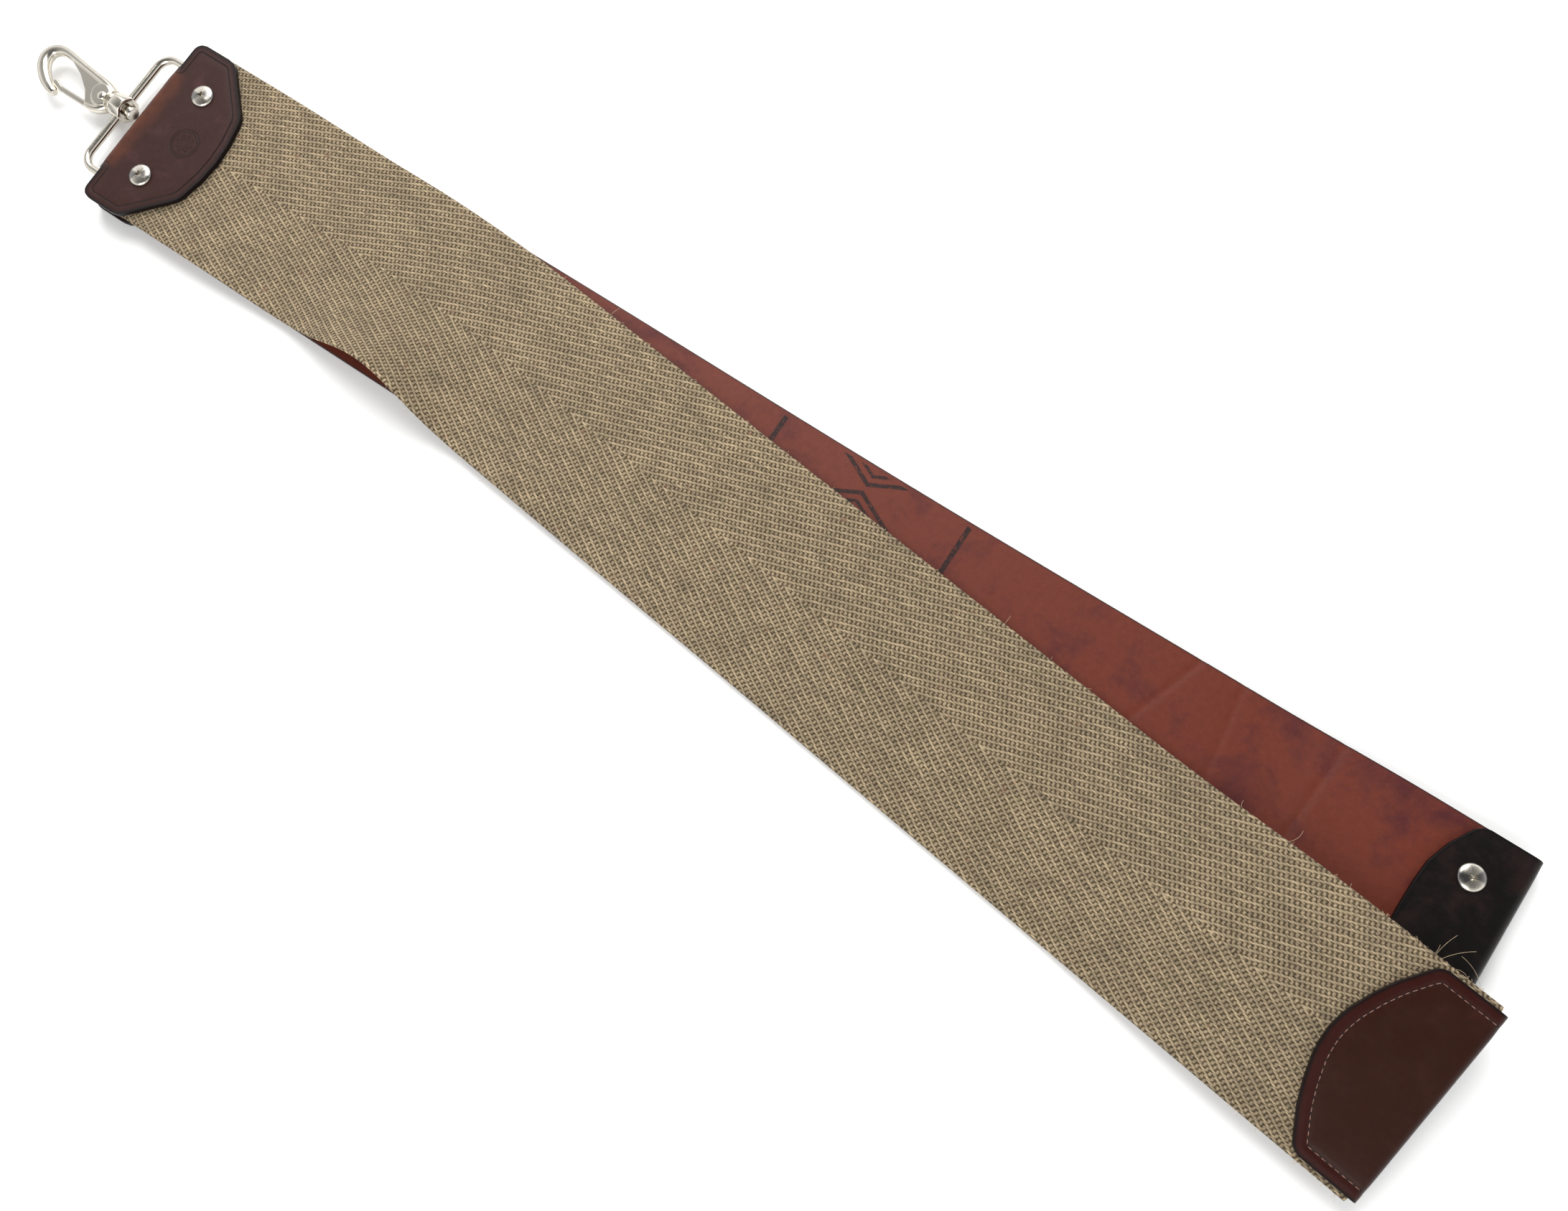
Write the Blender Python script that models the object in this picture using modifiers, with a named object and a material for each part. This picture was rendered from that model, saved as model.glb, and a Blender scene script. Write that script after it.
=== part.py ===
"""Leather strop: a leather strap and a linen strap clamped together in a folded leather hanger.

The hanger folds round a metal loop, and a swivelling snap hook turns in the loop. The leather ends in
a folded leather handle and the linen in a folded, stitched leather cap. Metres, +Z up. The leather
lies along X on the plane z = 0, and the origin is under the middle of its flat stretch.
"""

import math

import bmesh
import bpy
from mathutils import Matrix, Vector, geometry

MM = 0.001

# Shared sizes. X places along the strop are counted from a line just outside the hanger's fold.
GAP = 0.3 * MM  # left between neighbouring pieces
FOLD_X = -300 * MM  # the place that X along the strop is counted from, just outside the fold
STRAP_WIDTH = 76.2 * MM
WAIST = 1.2 * MM  # how far the leather's +Y edge draws in along its middle
WAIST_MIDDLE = 355 * MM
WAIST_HALF_LENGTH = 190 * MM
LEATHER_THICKNESS = 2.5 * MM
LINEN_WIDTH = 78 * MM
LINEN_THICKNESS = 2.0 * MM
FLAP_THICKNESS = 2.0 * MM  # the leather of the hanger and the handle
CAP_THICKNESS = 1.5 * MM  # the leather of the linen's end cap

# Two-piece screws: a post with a flat cap below, and a domed screw above that turns into it.
HEAD_RADIUS = 4.75 * MM
HEAD_HEIGHT = 1.5 * MM
POST_CAP_HEIGHT = 1.0 * MM
POST_RADIUS = 2.5 * MM
POST_BORE = 2.0 * MM
SHANK_RADIUS = POST_BORE - GAP
SCREW_HOLE = POST_RADIUS + GAP
SCREW_Y = 20.5 * MM

# Heights of the layers, from the surface up.
FLAP_BOTTOM = POST_CAP_HEIGHT + GAP
LEATHER_LIFT = FLAP_BOTTOM + FLAP_THICKNESS + GAP
LINEN_BOTTOM = LEATHER_LIFT + LEATHER_THICKNESS + GAP
HANGER_TOP = LINEN_BOTTOM + LINEN_THICKNESS + GAP + FLAP_THICKNESS
HANGER_MID = (FLAP_BOTTOM + HANGER_TOP) / 2
HANDLE_MID = LEATHER_LIFT + LEATHER_THICKNESS / 2
HANDLE_TOP = LEATHER_LIFT + LEATHER_THICKNESS + GAP + FLAP_THICKNESS

# Hanger, in plan.
TAB_HALF_WIDTH = 39.5 * MM
TAB_SHOULDER = (23.0 * MM, 39.5 * MM)  # where the straight side ends
TAB_CORNER = (41.8 * MM, 20.6 * MM)  # where the cut corner ends
TAB_TIP = 45.3 * MM
HANGER_FOLD = 1.0 * MM  # the fold's outer edge
EAR_START = 4.2 * MM
FOLD_HALF_WIDTH = 26.2 * MM
HANGER_SCREW_X = 21.5 * MM
STRAPS_START = 8.0 * MM  # both straps stop short of the loop's hidden bar

# Loop.
WIRE_RADIUS = 1.65 * MM
LOOP_BAR_X = 5.0 * MM  # the hidden bar, which the loop swings on
LOOP_OUTER_X = -8.9 * MM
LOOP_HALF_WIDTH = 28.35 * MM
LOOP_OUTER_BEND = 6.3 * MM
LOOP_INNER_BEND = 2.5 * MM
BOSS_FACES = (-12.7 * MM, -6.6 * MM)
BOSS_HALF_HEIGHT = 5.1 * MM
BOSS_RECESS = (3.6 * MM, 1.0 * MM)  # radius and depth of the sink round the stem's head

# Snap hook.
STEM_RADIUS = 2.0 * MM
STEM_HEAD_RADIUS = 2.7 * MM
STEM_HEAD_END = -3.4 * MM
HOOK_HALF_THICKNESS = 2.3 * MM
HOOK_ROUND = 1.2 * MM
GATE_PIVOT = (-18.7 * MM, -0.9 * MM)
GATE_OPEN = math.radians(18)
GATE_HALF_THICKNESS = 1.05 * MM
GATE_EYE_HEIGHT = 0.65 * MM
SLOT_HALF_HEIGHT = 1.5 * MM
PAD_CENTRE = (-19.7 * MM, -0.6 * MM)
PAD_RADIUS = 4.6 * MM
PAD_HALF_HEIGHT = 2.8 * MM
RIVET_RADIUS = 1.25 * MM
RIVET_HEAD = (1.9 * MM, 0.6 * MM)  # radius and height

# Handle, in plan.
HANDLE_END = 595.2 * MM
HANDLE_INNER = 563 * MM
HANDLE_HALF_WIDTH = 37.6 * MM
HANDLE_SCREW_X = 577.5 * MM

# Linen: it leaves the hanger straight, turns, then runs on straight to its cap.
LINEN_OFFSET_Y = 0.8 * MM
LINEN_HINGE_X = TAB_TIP + 0.7 * MM
LINEN_FREE_LENGTH = 552.8 * MM  # from the hinge to its end inside the cap
LINEN_INSIDE_CAP = CAP_THICKNESS + GAP + 1 * MM  # from its end to the outside of the cap's fold
LINEN_STEPS = 64
TURN = math.radians(-6.5)
TURN_STARTS = 105 * MM
TURN_ENDS = 200 * MM
BUCKLE_HEIGHT = 14 * MM  # the turn's inner edge is too long for its path, so it stands up
BUCKLE_MIDDLE = 155 * MM
BUCKLE_HALF_LENGTH = 52 * MM
BUCKLE_POWER = 1.6
PROP_STARTS = 470 * MM  # from here on the linen climbs onto the handle
PROP_ENDS = 553 * MM
PROP_HEIGHT = 9.5 * MM  # its middle there, and how much it slopes across
PROP_SLOPE = 0.106
CAP_HALF_WIDTH = 37.7 * MM
CAP_SIDE = 23.7 * MM
CAP_DEPTH = 38.8 * MM

PARTS = "leather_strop"
CUTTERS = "cutters"


# Scene, collections and materials ------------------------------------------------------------------


def clear_scene():
    for obj in list(bpy.data.objects):
        bpy.data.objects.remove(obj, do_unlink=True)


def collection(name):
    found = bpy.data.collections.get(name)
    if found is None:
        found = bpy.data.collections.new(name)
        bpy.context.scene.collection.children.link(found)
    return found


def material(name, colour, roughness, metallic=0.0):
    made = bpy.data.materials.new(name)
    made.use_nodes = True
    shader = made.node_tree.nodes["Principled BSDF"]
    shader.inputs["Base Color"].default_value = (*colour, 1.0)
    shader.inputs["Roughness"].default_value = roughness
    shader.inputs["Metallic"].default_value = metallic
    return made


def new_object(name, data, group=PARTS):
    obj = bpy.data.objects.new(name, data)
    collection(group).objects.link(obj)
    return obj


def finish(obj, name, look):
    """Names a finished part, moves it to the parts' collection, shades it and gives it its look."""
    obj.name = name
    for old in list(obj.users_collection):
        old.objects.unlink(obj)
    collection(PARTS).objects.link(obj)
    obj.data.materials.clear()
    obj.data.materials.append(look)
    obj.data.shade_smooth()
    obj.data.set_sharp_from_angle(angle=math.radians(35))
    return obj


def axis_empty(name, x, y, z, parent=None):
    """An empty on a joint's axis, which the joint's pieces hang from."""
    empty = bpy.data.objects.new(name, None)
    collection(PARTS).objects.link(empty)
    empty.location = (x, y, z)
    if parent:
        empty.parent = parent
        empty.matrix_parent_inverse = Matrix.Translation(-world_place(parent))
    empty["place"] = (x, y, z)
    return empty


def world_place(empty):
    return Vector(empty["place"])


def hang(obj, empty):
    """Parents a piece to an empty and leaves it where it is."""
    obj.parent = empty
    obj.matrix_parent_inverse = Matrix.Translation(-world_place(empty))


# Shape helpers -------------------------------------------------------------------------------------


def at(x):
    """World X of a place counted from the hanger's fold."""
    return FOLD_X + x


def smooth(t):
    t = min(max(t, 0.0), 1.0)
    return t * t * (3 - 2 * t)


def ramp(x, start, end):
    return smooth((x - start) / (end - start))


def arc(centre, radius, start, end, steps):
    """Points along an arc in plan, both ends included, angles in degrees."""
    angles = [math.radians(start + (end - start) * i / steps) for i in range(steps + 1)]
    return [(centre[0] + radius * math.cos(a), centre[1] + radius * math.sin(a)) for a in angles]


def mesh_from_curve(curve, name):
    """A curve object turned into a mesh object in the cutters' collection, its caps welded on."""
    bpy.context.view_layer.update()
    graph = bpy.context.evaluated_depsgraph_get()
    mesh = bpy.data.meshes.new_from_object(curve.evaluated_get(graph))
    bm = bmesh.new()
    bm.from_mesh(mesh)
    bmesh.ops.remove_doubles(bm, verts=bm.verts, dist=1e-6)
    bmesh.ops.recalc_face_normals(bm, faces=bm.faces)
    bm.to_mesh(mesh)
    bm.free()
    solid = new_object(name, mesh, CUTTERS)
    solid.matrix_world = curve.matrix_world
    bpy.data.objects.remove(curve, do_unlink=True)
    return solid


def slab(name, outline, low, high, rounding=0.0, smoothed=False):
    """A flat solid with this outline in plan between two heights, its rims rounded if asked."""
    data = bpy.data.curves.new(name, "CURVE")
    data.dimensions = "2D"
    data.fill_mode = "BOTH"
    data.extrude = (high - low) / 2 - rounding
    data.bevel_depth = rounding
    data.bevel_resolution = 1
    data.offset = -rounding
    if smoothed:
        data.resolution_u = 5
        spline = data.splines.new("BEZIER")
        spline.bezier_points.add(len(outline) - 1)
        for point, (x, y) in zip(spline.bezier_points, outline):
            point.co = (x, y, 0)
            point.handle_left_type = "AUTO"
            point.handle_right_type = "AUTO"
    else:
        spline = data.splines.new("POLY")
        spline.points.add(len(outline) - 1)
        for point, (x, y) in zip(spline.points, outline):
            point.co = (x, y, 0, 1)
    spline.use_cyclic_u = True
    curve = new_object(name, data, CUTTERS)
    curve.location.z = (low + high) / 2
    return mesh_from_curve(curve, name)


def block(name, low, high):
    """A box between two corners."""
    bm = bmesh.new()
    bmesh.ops.create_cube(bm, size=1.0)
    size = Vector(high) - Vector(low)
    middle = (Vector(high) + Vector(low)) / 2
    place = Matrix.Translation(middle) @ Matrix.Diagonal((*size, 1))
    bmesh.ops.transform(bm, matrix=place, verts=bm.verts)
    mesh = bpy.data.meshes.new(name)
    bm.to_mesh(mesh)
    bm.free()
    return new_object(name, mesh, CUTTERS)


def rod(name, start, end, radius, segments=20, twist=0.0):
    """A cylinder between two points."""
    start, end = Vector(start), Vector(end)
    bm = bmesh.new()
    bmesh.ops.create_cone(
        bm, cap_ends=True, segments=segments, radius1=radius, radius2=radius, depth=(end - start).length
    )
    turn = (end - start).to_track_quat("Z", "Y").to_matrix().to_4x4()
    turn = Matrix.Translation((start + end) / 2) @ turn @ Matrix.Rotation(twist, 4, "Z")
    bmesh.ops.transform(bm, matrix=turn, verts=bm.verts)
    mesh = bpy.data.meshes.new(name)
    bm.to_mesh(mesh)
    bm.free()
    return new_object(name, mesh, CUTTERS)


def turned(name, profile, steps=24):
    """A solid turned round Z from a profile of (radius, height) points, top to bottom."""
    mesh = bpy.data.meshes.new(name)
    edges = [(i, i + 1) for i in range(len(profile) - 1)]
    mesh.from_pydata([(r, 0, z) for r, z in profile], edges, [])
    obj = new_object(name, mesh, CUTTERS)
    screw = obj.modifiers.new("turn", "SCREW")
    screw.steps = steps
    screw.render_steps = steps
    screw.use_merge_vertices = True
    screw.merge_threshold = 1e-6
    bake(obj)
    return obj


def bake(obj):
    """Applies an object's modifiers and its place, and keeps its faces outward."""
    bpy.context.view_layer.update()
    graph = bpy.context.evaluated_depsgraph_get()
    mesh = bpy.data.meshes.new_from_object(obj.evaluated_get(graph))
    mesh.transform(obj.matrix_world)
    obj.modifiers.clear()
    obj.data = mesh
    obj.matrix_world = Matrix()


def cut(obj, tool, operation="DIFFERENCE"):
    """Cuts, joins or intersects an object with another one, which is used up.

    Both are enlarged while it is done, so that small faces stay well over the solver's tolerance.
    """
    enlarged = Matrix.Scale(1 / MM, 4)
    for shape in (obj, tool):
        bake(shape)
        shape.data.transform(enlarged)
    boolean = obj.modifiers.new("shape", "BOOLEAN")
    boolean.object = tool
    boolean.operation = operation
    boolean.solver = "EXACT"
    bake(obj)
    obj.data.transform(enlarged.inverted())
    bpy.data.objects.remove(tool, do_unlink=True)


def sheet(name, place, lengthwise, across, thickness):
    """A strap: a grid bent by place(t, u), both 0 to 1, and thickened upwards."""
    bm = bmesh.new()
    bmesh.ops.create_grid(bm, x_segments=lengthwise, y_segments=across, size=0.5)
    for vertex in bm.verts:
        vertex.co = place(vertex.co.x + 0.5, vertex.co.y + 0.5)
    mesh = bpy.data.meshes.new(name)
    bm.to_mesh(mesh)
    bm.free()
    obj = new_object(name, mesh, CUTTERS)
    solidify = obj.modifiers.new("thickness", "SOLIDIFY")
    solidify.thickness = thickness
    solidify.offset = 1.0
    bake(obj)
    return obj


def folded_leather(name, outline, half_gap, thickness, half_width, length):
    """Leather folded at x = 0 into two flaps that run towards -X, trimmed to an outline in plan."""
    middle = half_gap + thickness / 2
    steps = 8
    profile = [(-length, middle)]
    for i in range(steps + 1):
        angle = math.pi / 2 - math.pi * i / steps
        profile.append((-half_gap - thickness + middle * math.cos(angle), middle * math.sin(angle)))
    profile.append((-length, -middle))
    mesh = bpy.data.meshes.new(name)
    edges = [(i, i + 1) for i in range(len(profile) - 1)]
    mesh.from_pydata([(x, -half_width, z) for x, z in profile], edges, [])
    bm = bmesh.new()
    bm.from_mesh(mesh)
    swept = bmesh.ops.extrude_edge_only(bm, edges=bm.edges)
    moved = [item for item in swept["geom"] if isinstance(item, bmesh.types.BMVert)]
    bmesh.ops.translate(bm, vec=(0, 2 * half_width, 0), verts=moved)
    bmesh.ops.recalc_face_normals(bm, faces=bm.faces)
    bm.to_mesh(mesh)
    bm.free()
    obj = new_object(name, mesh, CUTTERS)
    solidify = obj.modifiers.new("thickness", "SOLIDIFY")
    solidify.thickness = thickness
    solidify.offset = 0.0
    solidify.use_even_offset = True
    bake(obj)
    reach = 2 * (half_gap + thickness)
    cut(obj, slab("trim", outline, -reach, reach), "INTERSECT")
    return obj


def screw_holes(obj, x):
    """Two holes for the screws through whatever lies at this place."""
    for side in (-1, 1):
        y = side * SCREW_Y
        cut(obj, rod("hole", (at(x), y, -0.01), (at(x), y, 0.03), SCREW_HOLE))


def capsule(start, end, start_radius, end_radius, steps=8):
    """The outline in plan of two circles joined by their tangents."""
    dx, dy = end[0] - start[0], end[1] - start[1]
    heading = math.degrees(math.atan2(dy, dx))
    lean = math.degrees(math.acos((start_radius - end_radius) / math.hypot(dx, dy)))
    first = arc(start, start_radius, heading + lean, heading + 360 - lean, steps)
    return first + arc(end, end_radius, heading - lean, heading + lean, steps)


# Straps --------------------------------------------------------------------------------------------


def leather_height(x):
    """The leather's underside: raised inside the hanger and the handle, flat between them."""
    leaves_hanger = 1 - ramp(x, TAB_TIP + 1 * MM, TAB_TIP + 65 * MM)
    enters_handle = ramp(x, HANDLE_INNER - 65 * MM, HANDLE_INNER - 1 * MM)
    return LEATHER_LIFT * max(leaves_hanger, enters_handle)


def leather_strap():
    start, end = STRAPS_START, HANDLE_END - FLAP_THICKNESS - GAP - 1 * MM

    def place(t, u):
        x = start + (end - start) * t
        waist = WAIST * ramp(WAIST_HALF_LENGTH - abs(x - WAIST_MIDDLE), 0, WAIST_HALF_LENGTH)
        return at(x), (u - 0.5) * STRAP_WIDTH - waist * max(u - 0.5, 0) * 2, leather_height(x)

    obj = sheet("leather", place, 56, 2, LEATHER_THICKNESS)
    screw_holes(obj, HANGER_SCREW_X)
    screw_holes(obj, HANDLE_SCREW_X)
    return obj


def linen_path(steps):
    """The free linen's centre line as (x, y, heading), x counted from the fold."""
    x, y = LINEN_HINGE_X + GAP, LINEN_OFFSET_Y
    stretch = LINEN_FREE_LENGTH / steps
    path = []
    for _ in range(steps + 1):
        heading = TURN * ramp(x, TURN_STARTS, TURN_ENDS)
        path.append((x, y, heading))
        x += stretch * math.cos(heading)
        y += stretch * math.sin(heading)
    return path


def linen_point(x, y, heading, v):
    """A point on the linen's underside, v across it from its centre line at (x, y)."""
    bend = min(abs(x - BUCKLE_MIDDLE) / BUCKLE_HALF_LENGTH, 1) * math.pi / 2
    lift = BUCKLE_HEIGHT * math.cos(bend) ** 2
    inner = max(-v, 0) / (LINEN_WIDTH / 2)
    spread = 2 * BUCKLE_POWER - 1
    inward = (lift * BUCKLE_POWER) ** 2 / (LINEN_WIDTH * spread) * inner**spread
    across = v + inward
    px, py = x - across * math.sin(heading), y + across * math.cos(heading)
    resting = leather_height(px) + LEATHER_THICKNESS + GAP
    overhang = ramp(-py, STRAP_WIDTH / 2 + 2 * MM, STRAP_WIDTH / 2 + 20 * MM)
    resting -= (resting - GAP) * overhang
    propped = PROP_HEIGHT + PROP_SLOPE * v
    climb = ramp(x, PROP_STARTS, PROP_ENDS)
    height = resting + (propped - resting) * climb + lift * inner**BUCKLE_POWER
    return at(px), py, height


def linen_strap():
    path = linen_path(LINEN_STEPS)

    def place(t, u):
        return linen_point(*path[round(t * LINEN_STEPS)], (u - 0.5) * LINEN_WIDTH)

    return sheet("linen", place, LINEN_STEPS, 10, LINEN_THICKNESS)


def linen_clamped_end():
    start, end = STRAPS_START, LINEN_HINGE_X - GAP

    def place(t, u):
        return at(start + (end - start) * t), LINEN_OFFSET_Y + (u - 0.5) * LINEN_WIDTH, LINEN_BOTTOM

    obj = sheet("linen", place, 2, 2, LINEN_THICKNESS)
    screw_holes(obj, HANGER_SCREW_X)
    return obj


# Leather fittings ----------------------------------------------------------------------------------


def hanger_outline():
    """The hanger in plan: ears, straight sides, cut corners and a slightly bowed end."""
    ear = arc((EAR_START + 3 * MM, TAB_HALF_WIDTH - 3 * MM), 3 * MM, 180, 90, 4)
    (x, y), (corner_x, corner_y) = TAB_SHOULDER, TAB_CORNER
    shoulder = [(x - 2.5 * MM, y), (x + 1.2 * MM, y - 1.1 * MM)]
    corner = [(corner_x - 1.2 * MM, corner_y + 1.3 * MM), (corner_x + 0.6 * MM, corner_y - 1.8 * MM)]
    bow = [(TAB_TIP - 0.7 * MM, 9 * MM), (TAB_TIP, 0)]
    half = [(-1 * MM, FOLD_HALF_WIDTH), (EAR_START, FOLD_HALF_WIDTH), *ear, *shoulder, *corner, *bow]
    # The outline runs from the fold out to the ear and round to the tip, then back along the other side.
    return [(x, y) for x, y in half] + [(x, -y) for x, y in reversed(half[:-1])]


def hanger_tab():
    outline = [(HANGER_FOLD - x, y) for x, y in hanger_outline()]
    half_gap = (HANGER_TOP - FLAP_BOTTOM) / 2 - FLAP_THICKNESS
    width, length = TAB_HALF_WIDTH + 1 * MM, TAB_TIP + 5 * MM
    obj = folded_leather("hanger", outline, half_gap, FLAP_THICKNESS, width, length)
    turn = Matrix.Rotation(math.pi, 4, "Z")
    obj.matrix_world = Matrix.Translation((at(HANGER_FOLD), 0, HANGER_MID)) @ turn
    bake(obj)
    for side in (-1, 1):
        low = (at(-1 * MM), min(side * FOLD_HALF_WIDTH, side * 0.05), HANGER_MID - half_gap)
        high = (at(STRAPS_START), max(side * FOLD_HALF_WIDTH, side * 0.05), HANGER_MID + half_gap)
        cut(obj, block("ear gap", low, high))
    screw_holes(obj, HANGER_SCREW_X)
    return obj


def leather_handle():
    depth = HANDLE_END - HANDLE_INNER
    half = [(0.5 * MM, HANDLE_HALF_WIDTH), (-21 * MM, HANDLE_HALF_WIDTH - 0.4 * MM)]
    half += [(-x * MM, y * MM) for x, y in ((24.5, 33.5), (28.5, 26.5), (31.5, 18))]
    half += [(-depth, 9 * MM), (-depth, 0)]
    outline = half + [(x, -y) for x, y in reversed(half[:-1])]
    half_gap = LEATHER_THICKNESS / 2 + GAP
    width, length = HANDLE_HALF_WIDTH + 1 * MM, depth + 5 * MM
    obj = folded_leather("handle", outline, half_gap, FLAP_THICKNESS, width, length)
    obj.matrix_world = Matrix.Translation((at(HANDLE_END), 0, HANDLE_MID))
    bake(obj)
    screw_holes(obj, HANDLE_SCREW_X)
    return obj


def linen_end_cap():
    half = [(0.5 * MM, CAP_HALF_WIDTH), (-CAP_SIDE, CAP_HALF_WIDTH)]
    half += [(-x * MM, y * MM) for x, y in ((26.5, 34), (31.5, 25.5), (34.8, 18), (37.8, 9))]
    half += [(-CAP_DEPTH, 0)]
    outline = half + [(x, -y) for x, y in reversed(half[:-1])]
    half_gap = LINEN_THICKNESS / 2 + GAP
    width, length = CAP_HALF_WIDTH + 1 * MM, CAP_DEPTH + 5 * MM
    obj = folded_leather("cap", outline, half_gap, CAP_THICKNESS, width, length)
    x, y, heading = linen_path(LINEN_STEPS)[-1]
    x, y = x + LINEN_INSIDE_CAP * math.cos(heading), y + LINEN_INSIDE_CAP * math.sin(heading)
    along = Vector((math.cos(heading), math.sin(heading), 0))
    across = Vector((-math.sin(heading), math.cos(heading), PROP_SLOPE)).normalized()
    normal = along.cross(across)
    frame = Matrix((along, across, normal)).transposed().to_4x4()
    place = Vector((at(x), y, PROP_HEIGHT)) + normal * LINEN_THICKNESS / 2
    obj.matrix_world = Matrix.Translation(place) @ frame
    bake(obj)
    return obj


# Screws --------------------------------------------------------------------------------------------


def screw(x, y, base):
    """A domed screw with a crossed slot; its head's flat side is at the height base."""
    dome = [
        (0, HEAD_HEIGHT),
        (1.6 * MM, HEAD_HEIGHT * 0.95),
        (3.1 * MM, HEAD_HEIGHT * 0.76),
        (4.2 * MM, HEAD_HEIGHT * 0.47),
        (HEAD_RADIUS, 0.35 * MM),
    ]
    tip = -(base - POST_CAP_HEIGHT - 1.4 * MM)
    profile = [*dome, (HEAD_RADIUS, 0), (SHANK_RADIUS, 0), (SHANK_RADIUS, tip), (0, tip)]
    obj = turned("screw", profile)
    floor = HEAD_HEIGHT - 0.75 * MM
    cut(obj, block("slot", (-0.55 * MM, -6 * MM, HEAD_HEIGHT - 0.5 * MM), (0.55 * MM, 6 * MM, 3 * MM)))
    cut(obj, block("cross", (-1.6 * MM, -0.5 * MM, floor), (1.6 * MM, 0.5 * MM, 3 * MM)))
    obj.matrix_world = Matrix.Translation((at(x), y, base))
    bake(obj)
    return obj


def post(x, y, top):
    """The screw's other half: a flat cap on the surface and a bored post that the screw turns into."""
    profile = [
        (POST_BORE, top),
        (POST_RADIUS, top),
        (POST_RADIUS, POST_CAP_HEIGHT),
        (HEAD_RADIUS - 0.3 * MM, POST_CAP_HEIGHT),
        (HEAD_RADIUS, POST_CAP_HEIGHT - 0.3 * MM),
        (HEAD_RADIUS, 0.3 * MM),
        (HEAD_RADIUS - 0.6 * MM, 0),
        (0, 0),
    ]
    floor = POST_CAP_HEIGHT + 0.6 * MM
    obj = turned("post", [(0, floor), (POST_BORE, floor), *profile])
    obj.matrix_world = Matrix.Translation((at(x), y, 0))
    bake(obj)
    return obj


# Loop and snap hook --------------------------------------------------------------------------------


def hanger_loop():
    """A rectangular wire ring with an eight-sided boss, bored for the hook's stem."""
    outer, inner = LOOP_OUTER_BEND, LOOP_INNER_BEND
    path = arc((at(LOOP_BAR_X) - inner, LOOP_HALF_WIDTH - inner), inner, 0, 90, 4)
    path += arc((at(LOOP_OUTER_X) + outer, LOOP_HALF_WIDTH - outer), outer, 90, 180, 6)
    path += [(x, -y) for x, y in reversed(path)]
    data = bpy.data.curves.new("loop", "CURVE")
    data.dimensions = "3D"
    data.bevel_depth = WIRE_RADIUS
    data.bevel_resolution = 2
    spline = data.splines.new("POLY")
    spline.points.add(len(path) - 1)
    for point, (x, y) in zip(spline.points, path):
        point.co = (x, y, HANGER_MID, 1)
    spline.use_cyclic_u = True
    obj = mesh_from_curve(new_object("loop", data, CUTTERS), "loop")
    eighth = math.pi / 8
    low, high = (at(x) for x in BOSS_FACES)
    start, end = (low, 0, HANGER_MID), (high, 0, HANGER_MID)
    cut(obj, rod("boss", start, end, BOSS_HALF_HEIGHT / math.cos(eighth), 8, eighth), "UNION")
    cut(obj, rod("bore", (low - 0.01, 0, HANGER_MID), (high + 0.01, 0, HANGER_MID), STEM_RADIUS + GAP))
    radius, depth = BOSS_RECESS
    cut(obj, rod("recess", (high - depth, 0, HANGER_MID), (high + 0.01, 0, HANGER_MID), radius))
    return obj


def hook_outline():
    """The snap hook in plan, from the neck along its back, round the bow to the nose and back inside."""
    back = [(-15.6, 5.0), (-20, 6.4), (-27, 7.1), (-35, 7.9), (-42, 8.7), (-48.4, 9.4), (-53.3, 8.8), (-56.5, 6.1)]
    bow = [(-57.4, 2.4), (-56.1, -1.8), (-53, -5.9), (-48.8, -8.9), (-44.6, -10.5), (-41, -11.1), (-39.6, -10.2)]
    inside = [(-40.2, -9.1), (-43.8, -8.0), (-47.2, -5.6), (-50.2, -2.4), (-51.7, 0.8), (-51.7, 3.5), (-49.9, 5.4)]
    web = [(-46.4, 6.0), (-41, 5.0), (-35, 2.4), (-28.3, -2.3), (-25.2, -6.0), (-24, -8.2)]
    base = [(-20.3, -7.9), (-16.9, -6.5), (-15.2, -5.0), (-15.2, 0)]
    return [(at(x * MM), y * MM) for x, y in back + bow + inside + web + base]


def gate_outlines():
    """The gate in plan: its finger, the bar that closes the hook, and the arm to the pivot."""
    tip, bend, root = ((at(x * MM), y * MM) for x, y in ((-42.6, -6.0), (-39.2, -7.05), (-22.6, -7.1)))
    pivot = (at(GATE_PIVOT[0]), GATE_PIVOT[1])
    finger = capsule(tip, bend, 1.25 * MM, 1.1 * MM)
    bar = capsule(bend, root, 1.15 * MM, 1.2 * MM)
    arm = capsule(root, pivot, 1.15 * MM, 2.9 * MM)
    return finger, bar, arm


def swept_gate():
    """The pocket in plan that the gate's inner half turns in, from closed to open."""
    clearance = 0.4 * MM
    middle, root = Vector((at(-33 * MM), -7.1 * MM)), Vector((at(-22.6 * MM), -7.1 * MM))
    pivot = Vector((at(GATE_PIVOT[0]), GATE_PIVOT[1]))
    points = arc(pivot, 2.9 * MM + clearance, 0, 345, 23)
    for angle in (0, -GATE_OPEN):
        turn = Matrix.Rotation(angle, 2)
        for place in (middle, root):
            points += arc(pivot + turn @ (place - pivot), 1.2 * MM + clearance, 0, 330, 11)
    hull = geometry.convex_hull_2d([Vector(p) for p in points])
    return [points[i] for i in hull]


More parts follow.
